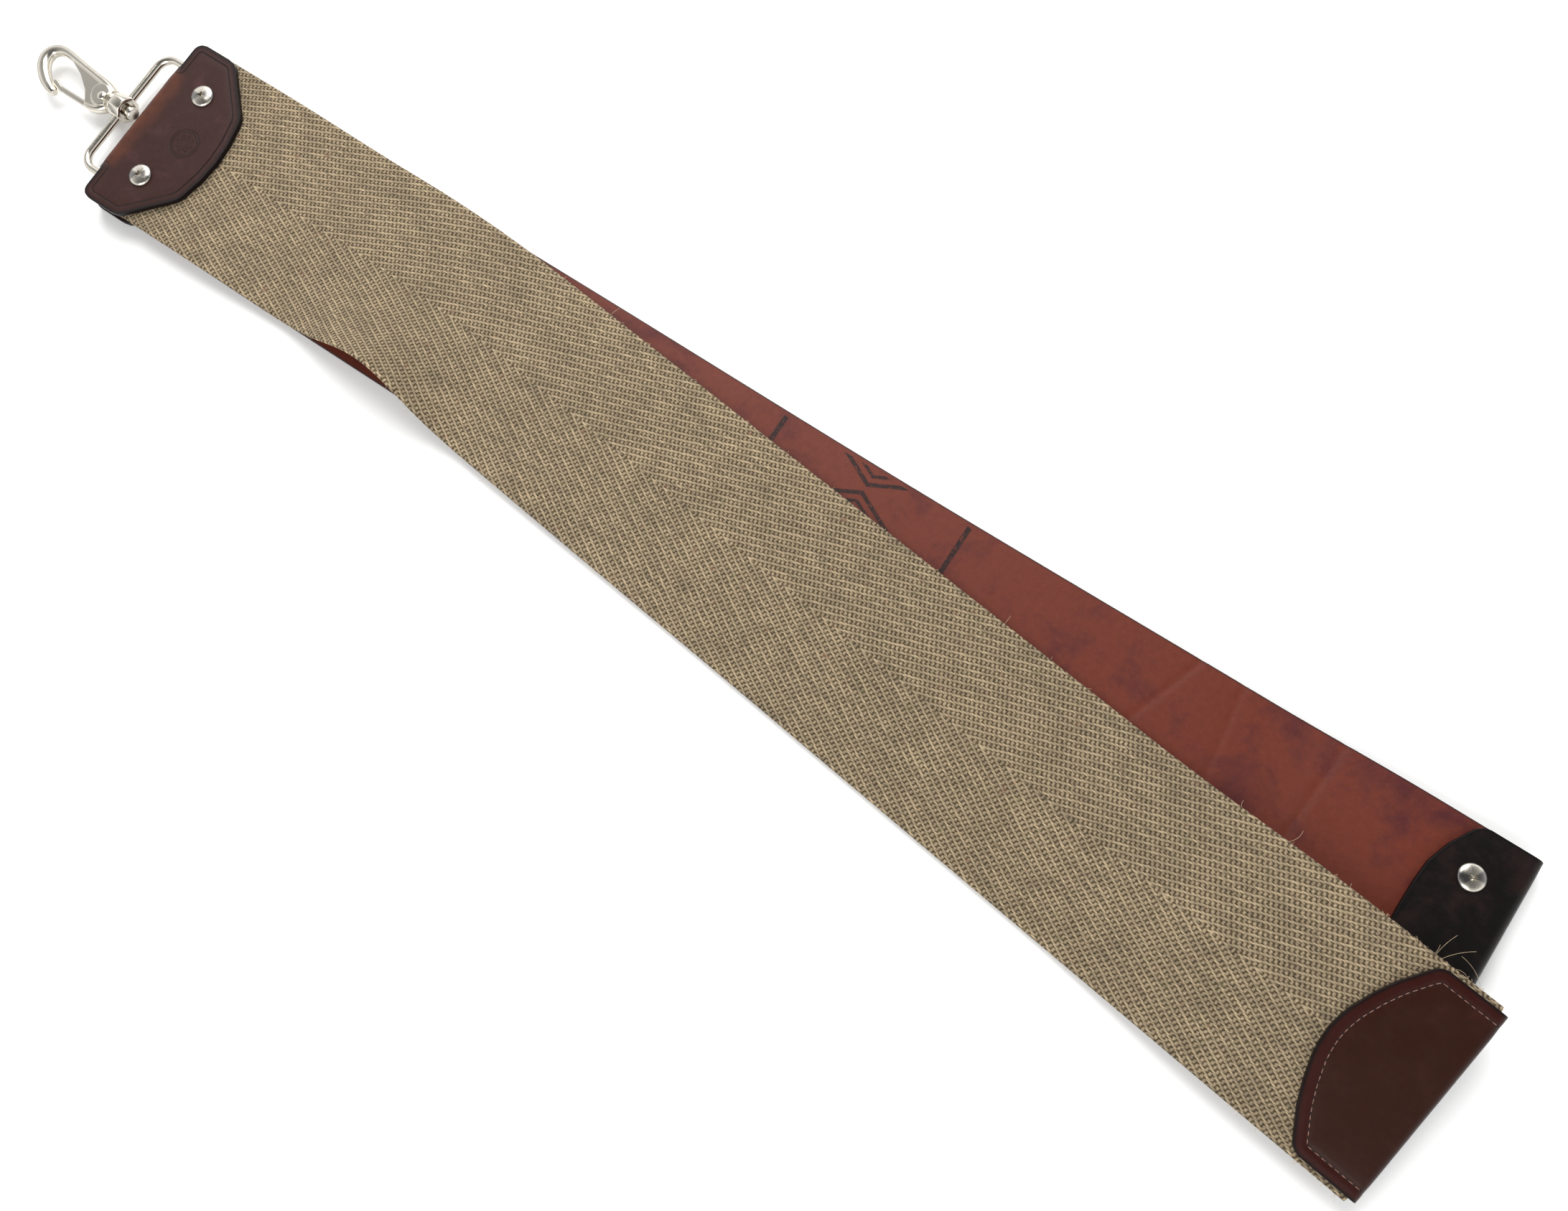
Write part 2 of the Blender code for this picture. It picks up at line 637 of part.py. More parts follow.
def snap_hook_body():
    low, high = HANGER_MID - HOOK_HALF_THICKNESS, HANGER_MID + HOOK_HALF_THICKNESS
    obj = slab("hook", hook_outline(), low, high, HOOK_ROUND, smoothed=True)
    bake(obj)
    face = at(BOSS_FACES[0]) - GAP
    head_start = at(BOSS_FACES[1]) - BOSS_RECESS[1] + GAP
    # Radius and place of the neck's rings, the stem and the stem's head, along the axis.
    profile = [
        (0, at(STEM_HEAD_END)),
        (STEM_HEAD_RADIUS - 0.5 * MM, at(STEM_HEAD_END)),
        (STEM_HEAD_RADIUS, at(STEM_HEAD_END) - 0.5 * MM),
        (STEM_HEAD_RADIUS, head_start),
        (STEM_RADIUS, head_start),
        (STEM_RADIUS, face),
        (4.1 * MM, face),
        (4.5 * MM, face - 0.5 * MM),
        (3.3 * MM, face - 1.0 * MM),
        (3.3 * MM, face - 1.4 * MM),
        (4.7 * MM, face - 1.9 * MM),
        (4.6 * MM, face - 2.5 * MM),
        (2.6 * MM, face - 3.3 * MM),
        (0, face - 5.0 * MM),
    ]
    neck = turned("neck", profile, 20)
    turn = Matrix.Rotation(math.pi / 2, 4, "Y")
    neck.matrix_world = Matrix.Translation((0, 0, HANGER_MID)) @ turn
    bake(neck)
    cut(obj, neck, "UNION")
    x, y = at(PAD_CENTRE[0]), PAD_CENTRE[1]
    low, high = HANGER_MID - PAD_HALF_HEIGHT, HANGER_MID + PAD_HALF_HEIGHT
    cut(obj, rod("pad", (x, y, low), (x, y, high), PAD_RADIUS, 28), "UNION")
    cut(obj, slab("slot", swept_gate(), HANGER_MID - SLOT_HALF_HEIGHT, HANGER_MID + SLOT_HALF_HEIGHT))
    x, y = at(GATE_PIVOT[0]), GATE_PIVOT[1]
    low, high = HANGER_MID - 10 * MM, HANGER_MID + 10 * MM
    cut(obj, rod("rivet hole", (x, y, low), (x, y, high), RIVET_RADIUS + GAP, 16))
    return obj


def hook_gate():
    finger, bar, arm = gate_outlines()
    low, high = HANGER_MID - GATE_HALF_THICKNESS, HANGER_MID + GATE_HALF_THICKNESS
    eye = slab("arm", arm, low, low + GATE_EYE_HEIGHT)
    x, y = at(GATE_PIVOT[0]), GATE_PIVOT[1]
    cut(eye, rod("hole", (x, y, low - 0.01), (x, y, low + 0.01), RIVET_RADIUS + GAP, 16))
    obj = slab("gate", bar, low, high)
    cut(obj, slab("finger", finger, low, high), "UNION")
    cut(obj, eye, "UNION")
    return obj


def gate_rivet():
    radius, height = RIVET_HEAD
    seat = PAD_HALF_HEIGHT + GAP
    half = [(0, seat + height), (radius * 0.55, seat + height * 0.85)]
    half += [(radius, seat + height * 0.3), (radius, seat), (RIVET_RADIUS, seat)]
    obj = turned("rivet", half + [(r, -z) for r, z in reversed(half)], 16)
    obj.matrix_world = Matrix.Translation((at(GATE_PIVOT[0]), GATE_PIVOT[1], HANGER_MID))
    bake(obj)
    return obj


def gate_spring():
    """Two turns of wire round the rivet, above the gate's eye, with one short leg each way."""
    wire, radius, turns, steps = 0.2 * MM, 1.95 * MM, 2, 14
    pitch = 0.46 * MM
    start = 0.12 * MM
    x, y = at(GATE_PIVOT[0]), GATE_PIVOT[1]
    path = []
    for i in range(turns * steps + 1):
        angle = 2 * math.pi * i / steps
        z = HANGER_MID + start + pitch * i / steps
        path.append((x + radius * math.cos(angle), y + radius * math.sin(angle), z))
    first, last = path[0], path[-1]
    path.insert(0, (first[0], first[1] - 1.6 * MM, first[2] - 0.02 * MM))
    path.append((last[0], last[1] + 0.9 * MM, last[2] + 0.02 * MM))
    data = bpy.data.curves.new("spring", "CURVE")
    data.dimensions = "3D"
    data.bevel_depth = wire
    data.bevel_resolution = 1
    data.use_fill_caps = True
    spline = data.splines.new("POLY")
    spline.points.add(len(path) - 1)
    for point, place in zip(spline.points, path):
        point.co = (*place, 1)
    return mesh_from_curve(new_object("spring", data, CUTTERS), "spring")


# Assembly ------------------------------------------------------------------------------------------


def build():
    clear_scene()
    russet = material("russet_leather", (0.21, 0.045, 0.03), 0.45)
    brown = material("dark_brown_leather", (0.05, 0.018, 0.014), 0.4)
    black = material("black_leather", (0.008, 0.006, 0.006), 0.35)
    red_brown = material("red_brown_leather", (0.035, 0.008, 0.005), 0.3)
    linen = material("linen", (0.40, 0.32, 0.20), 0.9)
    nickel = material("nickel", (0.75, 0.73, 0.69), 0.2, 1.0)
    steel = material("spring_steel", (0.45, 0.45, 0.46), 0.35, 1.0)

    finish(leather_strap(), "leather_strap", russet)
    finish(linen_clamped_end(), "linen_clamped_end", linen)
    finish(hanger_tab(), "hanger_tab", brown)
    finish(leather_handle(), "leather_handle", black)
    hanger_seat, handle_seat = HANGER_TOP + GAP, HANDLE_TOP + GAP
    for number, side in enumerate((1, -1), start=1):
        y = side * SCREW_Y
        finish(screw(HANGER_SCREW_X, y, hanger_seat), f"hanger_screw_{number}", nickel)
        finish(post(HANGER_SCREW_X, y, hanger_seat - 1.2 * MM), f"hanger_post_{number}", nickel)
        finish(screw(HANDLE_SCREW_X, y, handle_seat), f"handle_screw_{number}", nickel)
        finish(post(HANDLE_SCREW_X, y, handle_seat - 1.2 * MM), f"handle_post_{number}", nickel)

    linen_axis = axis_empty("linen_lift_axis", at(LINEN_HINGE_X), LINEN_OFFSET_Y, LINEN_BOTTOM + LINEN_THICKNESS)
    hang(finish(linen_strap(), "linen_strap", linen), linen_axis)
    hang(finish(linen_end_cap(), "linen_end_cap", red_brown), linen_axis)

    loop_axis = axis_empty("loop_swing_axis", at(LOOP_BAR_X), 0, HANGER_MID)
    hang(finish(hanger_loop(), "hanger_loop", nickel), loop_axis)
    hook_axis = axis_empty("hook_swivel_axis", at(BOSS_FACES[0]), 0, HANGER_MID, loop_axis)
    hang(finish(snap_hook_body(), "snap_hook_body", nickel), hook_axis)
    hang(finish(gate_rivet(), "gate_rivet", nickel), hook_axis)
    hang(finish(gate_spring(), "gate_spring", steel), hook_axis)
    gate_axis = axis_empty("gate_axis", at(GATE_PIVOT[0]), GATE_PIVOT[1], HANGER_MID, hook_axis)
    hang(finish(hook_gate(), "hook_gate", nickel), gate_axis)


build()
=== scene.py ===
"""Leather strop: the finished surfaces of a strop with a leather strap and a linen strap.

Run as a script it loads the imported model, builds every piece in detail around it and lights it
on a plain floor. Lengths are in metres unless a name says millimetres.
"""

import math
import random

import bmesh
import bpy
from bpy.props import FloatProperty, FloatVectorProperty, IntProperty, PointerProperty
from mathutils import Matrix, Vector, noise
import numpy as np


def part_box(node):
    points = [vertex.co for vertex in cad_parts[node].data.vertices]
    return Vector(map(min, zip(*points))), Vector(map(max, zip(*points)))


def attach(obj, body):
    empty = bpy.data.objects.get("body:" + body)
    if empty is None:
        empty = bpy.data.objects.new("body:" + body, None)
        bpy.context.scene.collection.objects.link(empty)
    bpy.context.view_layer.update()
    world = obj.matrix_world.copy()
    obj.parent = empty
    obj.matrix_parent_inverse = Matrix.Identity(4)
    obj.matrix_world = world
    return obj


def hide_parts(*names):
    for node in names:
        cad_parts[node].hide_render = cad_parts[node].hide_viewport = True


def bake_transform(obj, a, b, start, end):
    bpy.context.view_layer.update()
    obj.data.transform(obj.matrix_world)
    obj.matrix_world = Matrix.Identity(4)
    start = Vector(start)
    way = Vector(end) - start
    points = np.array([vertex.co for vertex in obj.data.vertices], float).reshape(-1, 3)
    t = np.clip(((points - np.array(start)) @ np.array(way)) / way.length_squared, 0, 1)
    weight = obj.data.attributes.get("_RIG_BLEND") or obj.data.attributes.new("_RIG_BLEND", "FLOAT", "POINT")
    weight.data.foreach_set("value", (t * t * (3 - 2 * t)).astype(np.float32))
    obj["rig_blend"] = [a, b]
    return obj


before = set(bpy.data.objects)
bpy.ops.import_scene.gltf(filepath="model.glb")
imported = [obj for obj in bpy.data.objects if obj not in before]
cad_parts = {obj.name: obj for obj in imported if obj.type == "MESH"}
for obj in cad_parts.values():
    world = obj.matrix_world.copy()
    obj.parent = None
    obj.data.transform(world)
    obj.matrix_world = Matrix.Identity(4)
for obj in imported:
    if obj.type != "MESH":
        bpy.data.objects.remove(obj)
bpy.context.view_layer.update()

bl_info = {
    "name": "Leather Strop",
    "version": (1, 0, 0),
    "blender": (4, 5, 0),
    "location": "3D View > Sidebar > Strop",
    "description": "Builds a strop of leather and linen with its hanger, snap hook, handle and end cap",
    "category": "Add Mesh",
}

MM = 0.001

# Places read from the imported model.
FOLD_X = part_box("hanger_tab")[0].x - 1.0 * MM
HANGER_LOW, HANGER_HIGH = (corner.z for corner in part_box("hanger_tab"))
HANGER_MID = (HANGER_LOW + HANGER_HIGH) / 2
HANDLE_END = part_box("leather_handle")[1].x
HANDLE_LOW, HANDLE_HIGH = (corner.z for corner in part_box("leather_handle"))
STRAP_START, STRAP_END = (corner.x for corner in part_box("leather_strap"))


# Sizes and colours --------------------------------------------------------------------------------


def linear(code):
    """An sRGB hex colour as linear light, with full opacity."""
    parts = [int(code[i : i + 2], 16) / 255 for i in (1, 3, 5)]
    return (*((c / 12.92 if c <= 0.04045 else ((c + 0.055) / 1.055) ** 2.4) for c in parts), 1.0)


def length(name, description, millimetres):
    return FloatProperty(name=name, description=description, default=millimetres * MM, unit="LENGTH")


def colour(name, description, code):
    return FloatVectorProperty(
        name=name, description=description, default=linear(code), size=4, min=0, max=1, subtype="COLOR"
    )


class StropSizes(bpy.types.PropertyGroup):
    """Sizes of the straps and their fittings."""

    strap_width: length("Strap width", "Width of the leather strap", 76.2)
    strap_thickness: length("Strap thickness", "Thickness of the leather strap", 2.5)
    linen_width: length("Linen width", "Width of the woven strap, selvage to selvage", 78)
    linen_thickness: length("Linen thickness", "Thickness of the woven strap", 2.0)
    warp_pitch: length("Warp spacing", "Distance between yarns that run along the linen", 0.69)
    weft_pitch: length("Weft spacing", "Distance between yarns that run across the linen", 1.48)
    flap_thickness: length("Flap thickness", "Leather of the hanger and the handle", 2.0)
    cap_thickness: length("Cap thickness", "Leather of the linen's end cap", 1.5)
    crease_inset: length("Crease inset", "Pressed line round the hanger, from its edge", 3.1)
    stitch_inset: length("Stitch inset", "Seam round the cap, from its edge", 4.3)
    stitch_pitch: length("Stitch pitch", "Distance between the cap's stitch holes", 2.5)
    wire_radius: length("Loop wire radius", "Half the thickness of the loop's wire", 1.65)
    fibre_count: IntProperty(
        name="Loose fibres", description="Stray fibres along the linen", default=230, min=0
    )


class StropColours(bpy.types.PropertyGroup):
    """Colours of the strop's leathers, linen, thread and metal."""

    russet: colour("Strap leather", "Main colour of the leather strap", "#652D20")
    russet_stain: colour("Strap stain", "Darker patches on the leather strap", "#441A20")
    hanger: colour("Hanger leather", "Dark brown leather of the hanger", "#341C18")
    hanger_pull: colour("Pulled-up tone", "Where the hanger's leather is stretched", "#5A2F1D")
    handle: colour("Handle leather", "Near-black leather of the handle", "#0B0706")
    cap: colour("Cap leather", "Dark red-brown leather of the cap", "#2C1107")
    cap_rim: colour("Cap rim", "The cap's border outside its seam", "#2E0A07")
    linen: colour("Linen", "Undyed linen yarn", "#A59173")
    # Painted light: the raised tone is a painted highlight on the yarns, and the sunk tone is painted shade
    # between them.
    linen_highlight_and_pale: colour("Linen, raised", "Yarn that stands up from the weave", "#D9C5A1")
    linen_shade: colour("Linen, sunk", "Shade between the yarns", "#473923")
    thread: colour("Thread", "Waxed sewing thread", "#86665A")
    nickel: colour("Nickel", "Nickel plate on the metal fittings", "#D9D3C7")
    steel: colour("Spring steel", "The gate's spring", "#A8A7A2")
    floor: colour("Floor", "Plain pale floor", "#F6F6F5")


# Materials ----------------------------------------------------------------------------------------


def new_material(name):
    """A material with a Principled shader, and its node tree."""
    made = bpy.data.materials.new(name)
    made.use_nodes = True
    return made, made.node_tree, made.node_tree.nodes["Principled BSDF"]


def feed(tree, source, socket):
    """Links a node or an output into a socket, or sets the socket to a plain value."""
    if isinstance(source, bpy.types.Node):
        source = source.outputs[0]
    if isinstance(source, bpy.types.NodeSocket):
        tree.links.new(source, socket)
    else:
        socket.default_value = source


def add(tree, kind, inputs=(), **settings):
    """A node with its properties set and its inputs fed, by number or by title."""
    node = tree.nodes.new("ShaderNode" + kind)
    for name, value in settings.items():
        setattr(node, name, value)
    for key, source in dict(inputs).items():
        feed(tree, source, node.inputs[key])
    return node


def maths(tree, operation, *terms):
    """A calculation on numbers, each given or linked in."""
    return add(tree, "Math", enumerate(terms), operation=operation)


def apart(tree, first, second):
    """How far two numbers are from each other."""
    return maths(tree, "ABSOLUTE", maths(tree, "SUBTRACT", first, second))


def mapped(tree, source, limits, results, interpolation="LINEAR"):
    """One range of numbers carried over to another, held at its ends."""
    return add(tree, "MapRange", enumerate((source, *limits, *results)), interpolation_type=interpolation)


def noisy(tree, place, scale, detail, roughness=0.5, distortion=0.0):
    """Cloudy noise over a place."""
    titles = ("Vector", "Scale", "Detail", "Roughness", "Distortion")
    return add(tree, "TexNoise", zip(titles, (place, scale, detail, roughness, distortion)))


def ramp(tree, source, stops):
    """A ramp through stops of (place, colour or grey)."""
    node = add(tree, "ValToRGB", {0: source})
    elements = node.color_ramp.elements
    while len(elements) < len(stops):
        elements.new(0.5)
    for element, (place, tone) in zip(elements, stops):
        element.position = place
        element.color = tone if hasattr(tone, "__len__") else (tone, tone, tone, 1.0)
    return node


def mixed(tree, share, first, second, blend="MIX"):
    """The colour output of a mix."""
    return add(tree, "Mix", {0: share, 6: first, 7: second}, data_type="RGBA", blend_type=blend).outputs[2]


def bumped(tree, height, strength, depth_mm, under=None, invert=False):
    """A bump, laid over the one under it when there is one."""
    inputs = {"Height": height, "Strength": strength, "Distance": depth_mm * MM}
    if under:
        inputs["Normal"] = under
    return add(tree, "Bump", inputs, invert=invert)


def object_place(tree):
    """The place on the object itself, in metres."""
    return add(tree, "TexCoord").outputs["Object"]


def stored(tree, name):
    """A number stored on the mesh's points."""
    return add(tree, "Attribute", attribute_name=name).outputs["Fac"]


def surface(tree, shader, inputs):
    """Feeds a shader's sockets by their titles."""
    for title, source in inputs.items():
        feed(tree, source, shader.inputs[title])


def overlaid(tree, shader, mask, tone):
    """Lays a tone over the shader's base colour where a mask says."""
    base = shader.inputs["Base Color"]
    feed(tree, mixed(tree, mask, base.links[0].from_socket, tone), base)


def any_of(tree, masks):
    """The largest of several masks."""
    whole = masks[0]
    for mask in masks[1:]:
        whole = maths(tree, "MAXIMUM", whole, mask)
    return whole


def band(tree, source, middle, half, full_share, end_share):
    """A mask of 1 round a middle value, which falls to 0 between two shares of its half width."""
    return mapped(tree, apart(tree, source, middle), (half * full_share, half * end_share), (1.0, 0.0))


def per(size_mm):
    """A texture scale on metre coordinates whose features are this many millimetres across."""
    return 1.0 / (size_mm * MM)


def leather(
    name,
    main,
    patch,
    edge,
    *,
    patch_mm,
    patch_share,
    roughness,
    grain_mm,
    grain,
    coat,
    shine,
    rim_mm,
    line_mm=0,
):
    """Vegetable-tanned leather: a dyed, rolled grain side, sealed and waxed.

    The eye sees cloudy dye, a pebbled grain of fine cells, darker burnished edges and a broad soft
    shine. line_mm presses a line into it at that distance from the edge, darkened partly as burnish and
    partly as painted shade in the groove.
    """
    made, tree, shader = new_material(name)
    place, rim = object_place(tree), stored(tree, "edge_mm")
    clouds = noisy(tree, place, per(patch_mm), 5.0, 0.66, 0.3)
    cloud_mask = ramp(tree, clouds, [(0.62 - patch_share, 0.0), (0.86 - patch_share, 1.0)])
    mottle = ramp(tree, noisy(tree, place, per(2.4), 6.0, 0.7), [(0.3, 0.80), (0.7, 1.0)])
    tone = mixed(tree, 1.0, mixed(tree, cloud_mask, main, patch), mottle, "MULTIPLY")
    # Burnished edge: dark on the cut rim, fading over the first millimetre or two of the face.
    tone = mixed(tree, mapped(tree, rim, (0.25, rim_mm), (1.0, 0.0)), tone, edge)

    # Grain: pebbled cells, with pores and fine wrinkles between them.
    cells = add(tree, "TexVoronoi", {"Vector": place, "Scale": per(grain_mm)}, feature="DISTANCE_TO_EDGE")
    cell_top = mapped(tree, cells, (0.0, 0.16), (0.0, 1.0))
    fine = noisy(tree, place, per(0.5), 4.0, 0.6)
    bump = bumped(tree, maths(tree, "MULTIPLY_ADD", fine, 0.55, cell_top), grain, 0.08)

    # Handling marks: long, faint scuffs that run along the leather.
    stretched = add(tree, "Mapping", {"Vector": place, "Rotation": (0, 0, 0.35), "Scale": (0.16, 1.0, 1.0)})
    scuffs = ramp(tree, noisy(tree, stretched, per(1.5), 3.0, 0.55), [(0.60, 0.0), (0.74, 1.0)])
    rough = mapped(tree, clouds, (0.2, 0.8), (roughness - 0.07, roughness + 0.1))
    rough = maths(tree, "MULTIPLY_ADD", scuffs, 0.12, rough)
    if line_mm:
        line_half_mm = 0.42
        line = mapped(tree, apart(tree, rim, line_mm), (0.0, line_half_mm), (1.0, 0.0))
        bump = bumped(tree, line, 0.9, 0.35, bump, invert=True)
        # Painted shade: the pressed line is darkened toward the edge's tone, partly burnish and partly
        # painted shade in its groove.
        tone = mixed(tree, maths(tree, "MULTIPLY", line, 0.95), tone, edge)
    surface(tree, shader, {"Base Color": tone, "Roughness": rough, "Normal": bump})
    surface(tree, shader, {"Specular IOR Level": shine, "Coat Weight": coat, "Coat Roughness": 0.25})
    return made, tree, shader, bump


def linen_material(sizes, colours):
    """Herringbone webbing: undyed linen yarns in a two-and-two twill that turns back at the centre line.

    Long warp floats catch painted highlight in slanting ribs, short weft floats sit lower between them,
    and the gaps are painted in shade. The pattern follows the weave's own coordinates, in millimetres.
    """
    made, tree, shader = new_material("linen_webbing")
    uv = add(tree, "UVMap", uv_map="weave")
    axes = add(tree, "SeparateXYZ", {0: uv})
    along = maths(tree, "MULTIPLY", axes.outputs["X"], MM / sizes.weft_pitch)
    across = maths(tree, "MULTIPLY", maths(tree, "ABSOLUTE", axes.outputs["Y"]), MM / sizes.warp_pitch)
    # Yarns wander from their lanes, slowly and in short kinks, and the wefts are not quite even.
    for scale, amount in ((0.22, 0.9), (1.05, 0.62)):
        across = maths(tree, "MULTIPLY_ADD", noisy(tree, uv, scale, 2.0, 0.6), amount, across)
    elsewhere = add(tree, "Mapping", {"Vector": uv, "Location": (37.0, 11.0, 0.0)})
    along = maths(tree, "MULTIPLY_ADD", noisy(tree, elsewhere, 0.75, 2.0, 0.6), 0.5, along)
    warp = maths(tree, "ROUND", across)
    weft = maths(tree, "ROUND", along)

    # Warp float: two wefts long, one warp wide, and it leans with the rib.
    phase = maths(tree, "FLOORED_MODULO", maths(tree, "SUBTRACT", along, warp), 4.0)
    from_middle = maths(tree, "SUBTRACT", phase, 1.0)
    lengthwise = mapped(tree, maths(tree, "ABSOLUTE", from_middle), (1.5, 0.3), (0.0, 1.0), "SMOOTHSTEP")
    lean = maths(tree, "MULTIPLY_ADD", from_middle, -0.28, maths(tree, "SUBTRACT", across, warp))
    width = mapped(tree, maths(tree, "ABSOLUTE", lean), (0.68, 0.06), (0.0, 0.95), "SMOOTHSTEP")
    warp_height = maths(tree, "MULTIPLY", lengthwise, width)

    # Weft float: two warps long, narrower than its lane, and lower.
    step = maths(tree, "SUBTRACT", weft, across)
    phase = maths(tree, "FLOORED_MODULO", step, 4.0)
    crosswise = mapped(tree, apart(tree, phase, 3.0), (1.35, 0.5), (0.0, 1.0), "SMOOTHSTEP")
    width = mapped(tree, apart(tree, along, weft), (0.54, 0.08), (0.0, 0.72), "SMOOTHSTEP")
    weft_height = maths(tree, "MULTIPLY", crosswise, width)
    height = maths(tree, "MAXIMUM", warp_height, weft_height)

    # Fibres twist round each yarn, so fine streaks run along it.
    streaks = add(tree, "Mapping", {"Vector": uv, "Scale": (0.55, 2.6, 1.0), "Rotation": (0, 0, 0.2)})
    fibres = noisy(tree, streaks, 1.6, 5.0, 0.85)
    height = maths(tree, "MULTIPLY_ADD", fibres, 1.5, maths(tree, "MULTIPLY", height, 0.5))
    height = mapped(tree, height, (0.74, 1.34), (0.0, 1.0))

    # Each float is one short length of yarn, and no two are the same tone.
    code = add(tree, "CombineXYZ", {0: warp, 1: maths(tree, "SUBTRACT", step, phase)})
    lot = add(tree, "TexWhiteNoise", {"Vector": code}, noise_dimensions="3D")
    clouds = noisy(tree, uv, 0.045, 5.0, 0.6)
    # Painted light: high places are painted toward the highlight tone and low places toward painted shade, as
    # well as bumped.
    shades = ((0.08, colours.linen_shade[:]), (0.46, colours.linen[:]), (0.95, colours.linen_highlight_and_pale[:]))
    float_tone = mapped(tree, lot, (0.0, 1.0), (0.74, 1.22))
    cloud_tone = mapped(tree, clouds, (0.3, 0.7), (0.88, 1.08))
    tone = maths(tree, "MULTIPLY", float_tone, cloud_tone)
    tone = mixed(tree, 1.0, ramp(tree, height, shades), tone, "MULTIPLY")
    # A few slubs of rust-coloured and of greenish fibre were spun in.
    slubs = noisy(tree, uv, 0.23, 2.0, 0.5)
    rusty = ramp(tree, slubs, [(0.66, 0.0), (0.76, 0.55)])
    greenish = ramp(tree, slubs, [(0.26, 0.35), (0.36, 0.0)])
    tone = mixed(tree, rusty, tone, linear("#8A6450"))
    tone = mixed(tree, greenish, tone, linear("#6F6B46"))
    surface(tree, shader, {"Base Color": tone, "Normal": bumped(tree, height, 0.9, 0.4), "Roughness": 0.88})
    surface(tree, shader, {"Specular IOR Level": 0.25, "Sheen Weight": 0.06, "Sheen Roughness": 0.5})
    return made


def fibre_material(colours):
    """Loose flax fibre: pale, thin and matt."""
    made, tree, shader = new_material("loose_flax_fibre")
    variation = noisy(tree, object_place(tree), per(3), 2.0)
    tone = mixed(tree, variation, colours.linen[:], colours.linen_highlight_and_pale[:])
    surface(tree, shader, {"Base Color": tone, "Roughness": 0.8})
    return made


def thread_material(colours):
    """Waxed polyester thread: two plies with a slight shine."""
    made, tree, shader = new_material("waxed_thread")
    inputs = {"Vector": object_place(tree), "Scale": per(2.2), "Distortion": 1.0}
    plies = add(tree, "TexWave", inputs, bands_direction="DIAGONAL")
    # Painted shade: the thread is painted darker along the grooves between its plies, in the same bands as
    # the bump.
    tone = mixed(tree, plies, linear("#5E443B"), colours.thread[:])
    surface(tree, shader, {"Base Color": tone, "Normal": bumped(tree, plies, 0.5, 0.05), "Roughness": 0.55})
    return made


def awl_hole_shade_material():
    """Painted shade inside a stitch hole: dark and matt, with a faint mottle."""
    made, tree, shader = new_material("awl_hole_painted_shade")
    hole_mottle = noisy(tree, object_place(tree), per(0.3), 2.0)
    tone = ramp(tree, hole_mottle, [(0.3, linear("#080303")), (0.7, linear("#1B0B08"))])
    surface(tree, shader, {"Base Color": tone, "Roughness": 0.9})
    return made


def plated_metal(name, tone, roughness):
    """Bright nickel plate on cast and turned metal: a mirror softened by casting skin and handling."""
    made, tree, shader = new_material(name)
    place = object_place(tree)
    haze = noisy(tree, place, per(4), 5.0, 0.7)
    rough = mapped(tree, haze, (0.3, 0.7), (roughness * 0.7, roughness * 1.5))
    bump = bumped(tree, noisy(tree, place, per(0.9), 3.0), 0.12, 0.05)
    darker = tuple(c * 0.86 for c in tone[:3]) + (1.0,)
    plate = mixed(tree, haze, tone, darker)
    surface(tree, shader, {"Base Color": plate, "Roughness": rough, "Normal": bump, "Metallic": 1.0})
    return made


def lathe_nickel_painted_fans(colours):
    """Nickel on turned screw heads, with two opposite dark fans painted on as the reflection that fine turned
    rings gather.
    """
    made = plated_metal("lathe_nickel_painted_fans", colours.nickel[:], 0.22)
    tree = made.node_tree
    # Painted reflection: dark grey laid over the two fans.
    overlaid(tree, tree.nodes["Principled BSDF"], stored(tree, "painted_fan"), linear("#6B6A6A"))
    return made


def nickel_plate(context):
    """The one nickel finish that every fitting shares."""
    found = bpy.data.materials.get("nickel_plate")
    return found or plated_metal("nickel_plate", context.scene.strop_colours.nickel[:], 0.17)


def give_material(node_name, material):
    """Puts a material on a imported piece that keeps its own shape."""
    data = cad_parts[node_name].data
    data.materials.clear()
    data.materials.append(material)


# Shapes -------------------------------------------------------------------------------------------


def eased(t):
    t = min(max(t, 0.0), 1.0)
    return t * t * (3 - 2 * t)


def between(x, start, end):
    """0 before start, 1 after end, eased."""
    return eased((x - start) / (end - start))


def pulse(x, width):
    """1 at 0, falling off within about this width."""
    return math.exp(-((x / width) ** 2))


def at(x):
    """World X of a place counted from the line just outside the hanger's fold."""
    return FOLD_X + x


def to_object(bm, name, material, angle=40):
    """Makes a finished bmesh an object in the scene, shaded smooth except over sharp edges."""
    mesh = bpy.data.meshes.new(name)
    bm.to_mesh(mesh)
    bm.free()
    obj = bpy.data.objects.new(name, mesh)
    bpy.context.scene.collection.objects.link(obj)
    mesh.materials.append(material)
    mesh.shade_smooth()
    mesh.set_sharp_from_angle(angle=math.radians(angle))
    return obj


def applied(obj):
    """The object with its modifiers applied."""
    bpy.context.view_layer.update()
    graph = bpy.context.evaluated_depsgraph_get()
    mesh = bpy.data.meshes.new_from_object(obj.evaluated_get(graph))
    obj.modifiers.clear()
    obj.data = mesh
    return obj


def rounded_rim(obj, width, segments=3, angle=50):
    """Rounds the edges where faces meet more sharply than an angle."""
    bevel = obj.modifiers.new("rim", "BEVEL")
    bevel.width = width
    bevel.segments = segments
    bevel.limit_method = "ANGLE"
    bevel.angle_limit = math.radians(angle)
    return obj


def cut(obj, tool, operation="DIFFERENCE"):
    """Cuts or joins with another object, which is used up. Both are enlarged while it is done."""
    grown = Matrix.Scale(1 / MM, 4)
    for shape in (obj, tool):
        shape.data.transform(grown)
    boolean = obj.modifiers.new("shape", "BOOLEAN")
    boolean.object = tool
    boolean.operation = operation
    boolean.solver = "EXACT"
    applied(obj)
    obj.data.transform(grown.inverted())
    bpy.data.objects.remove(tool, do_unlink=True)
    return obj


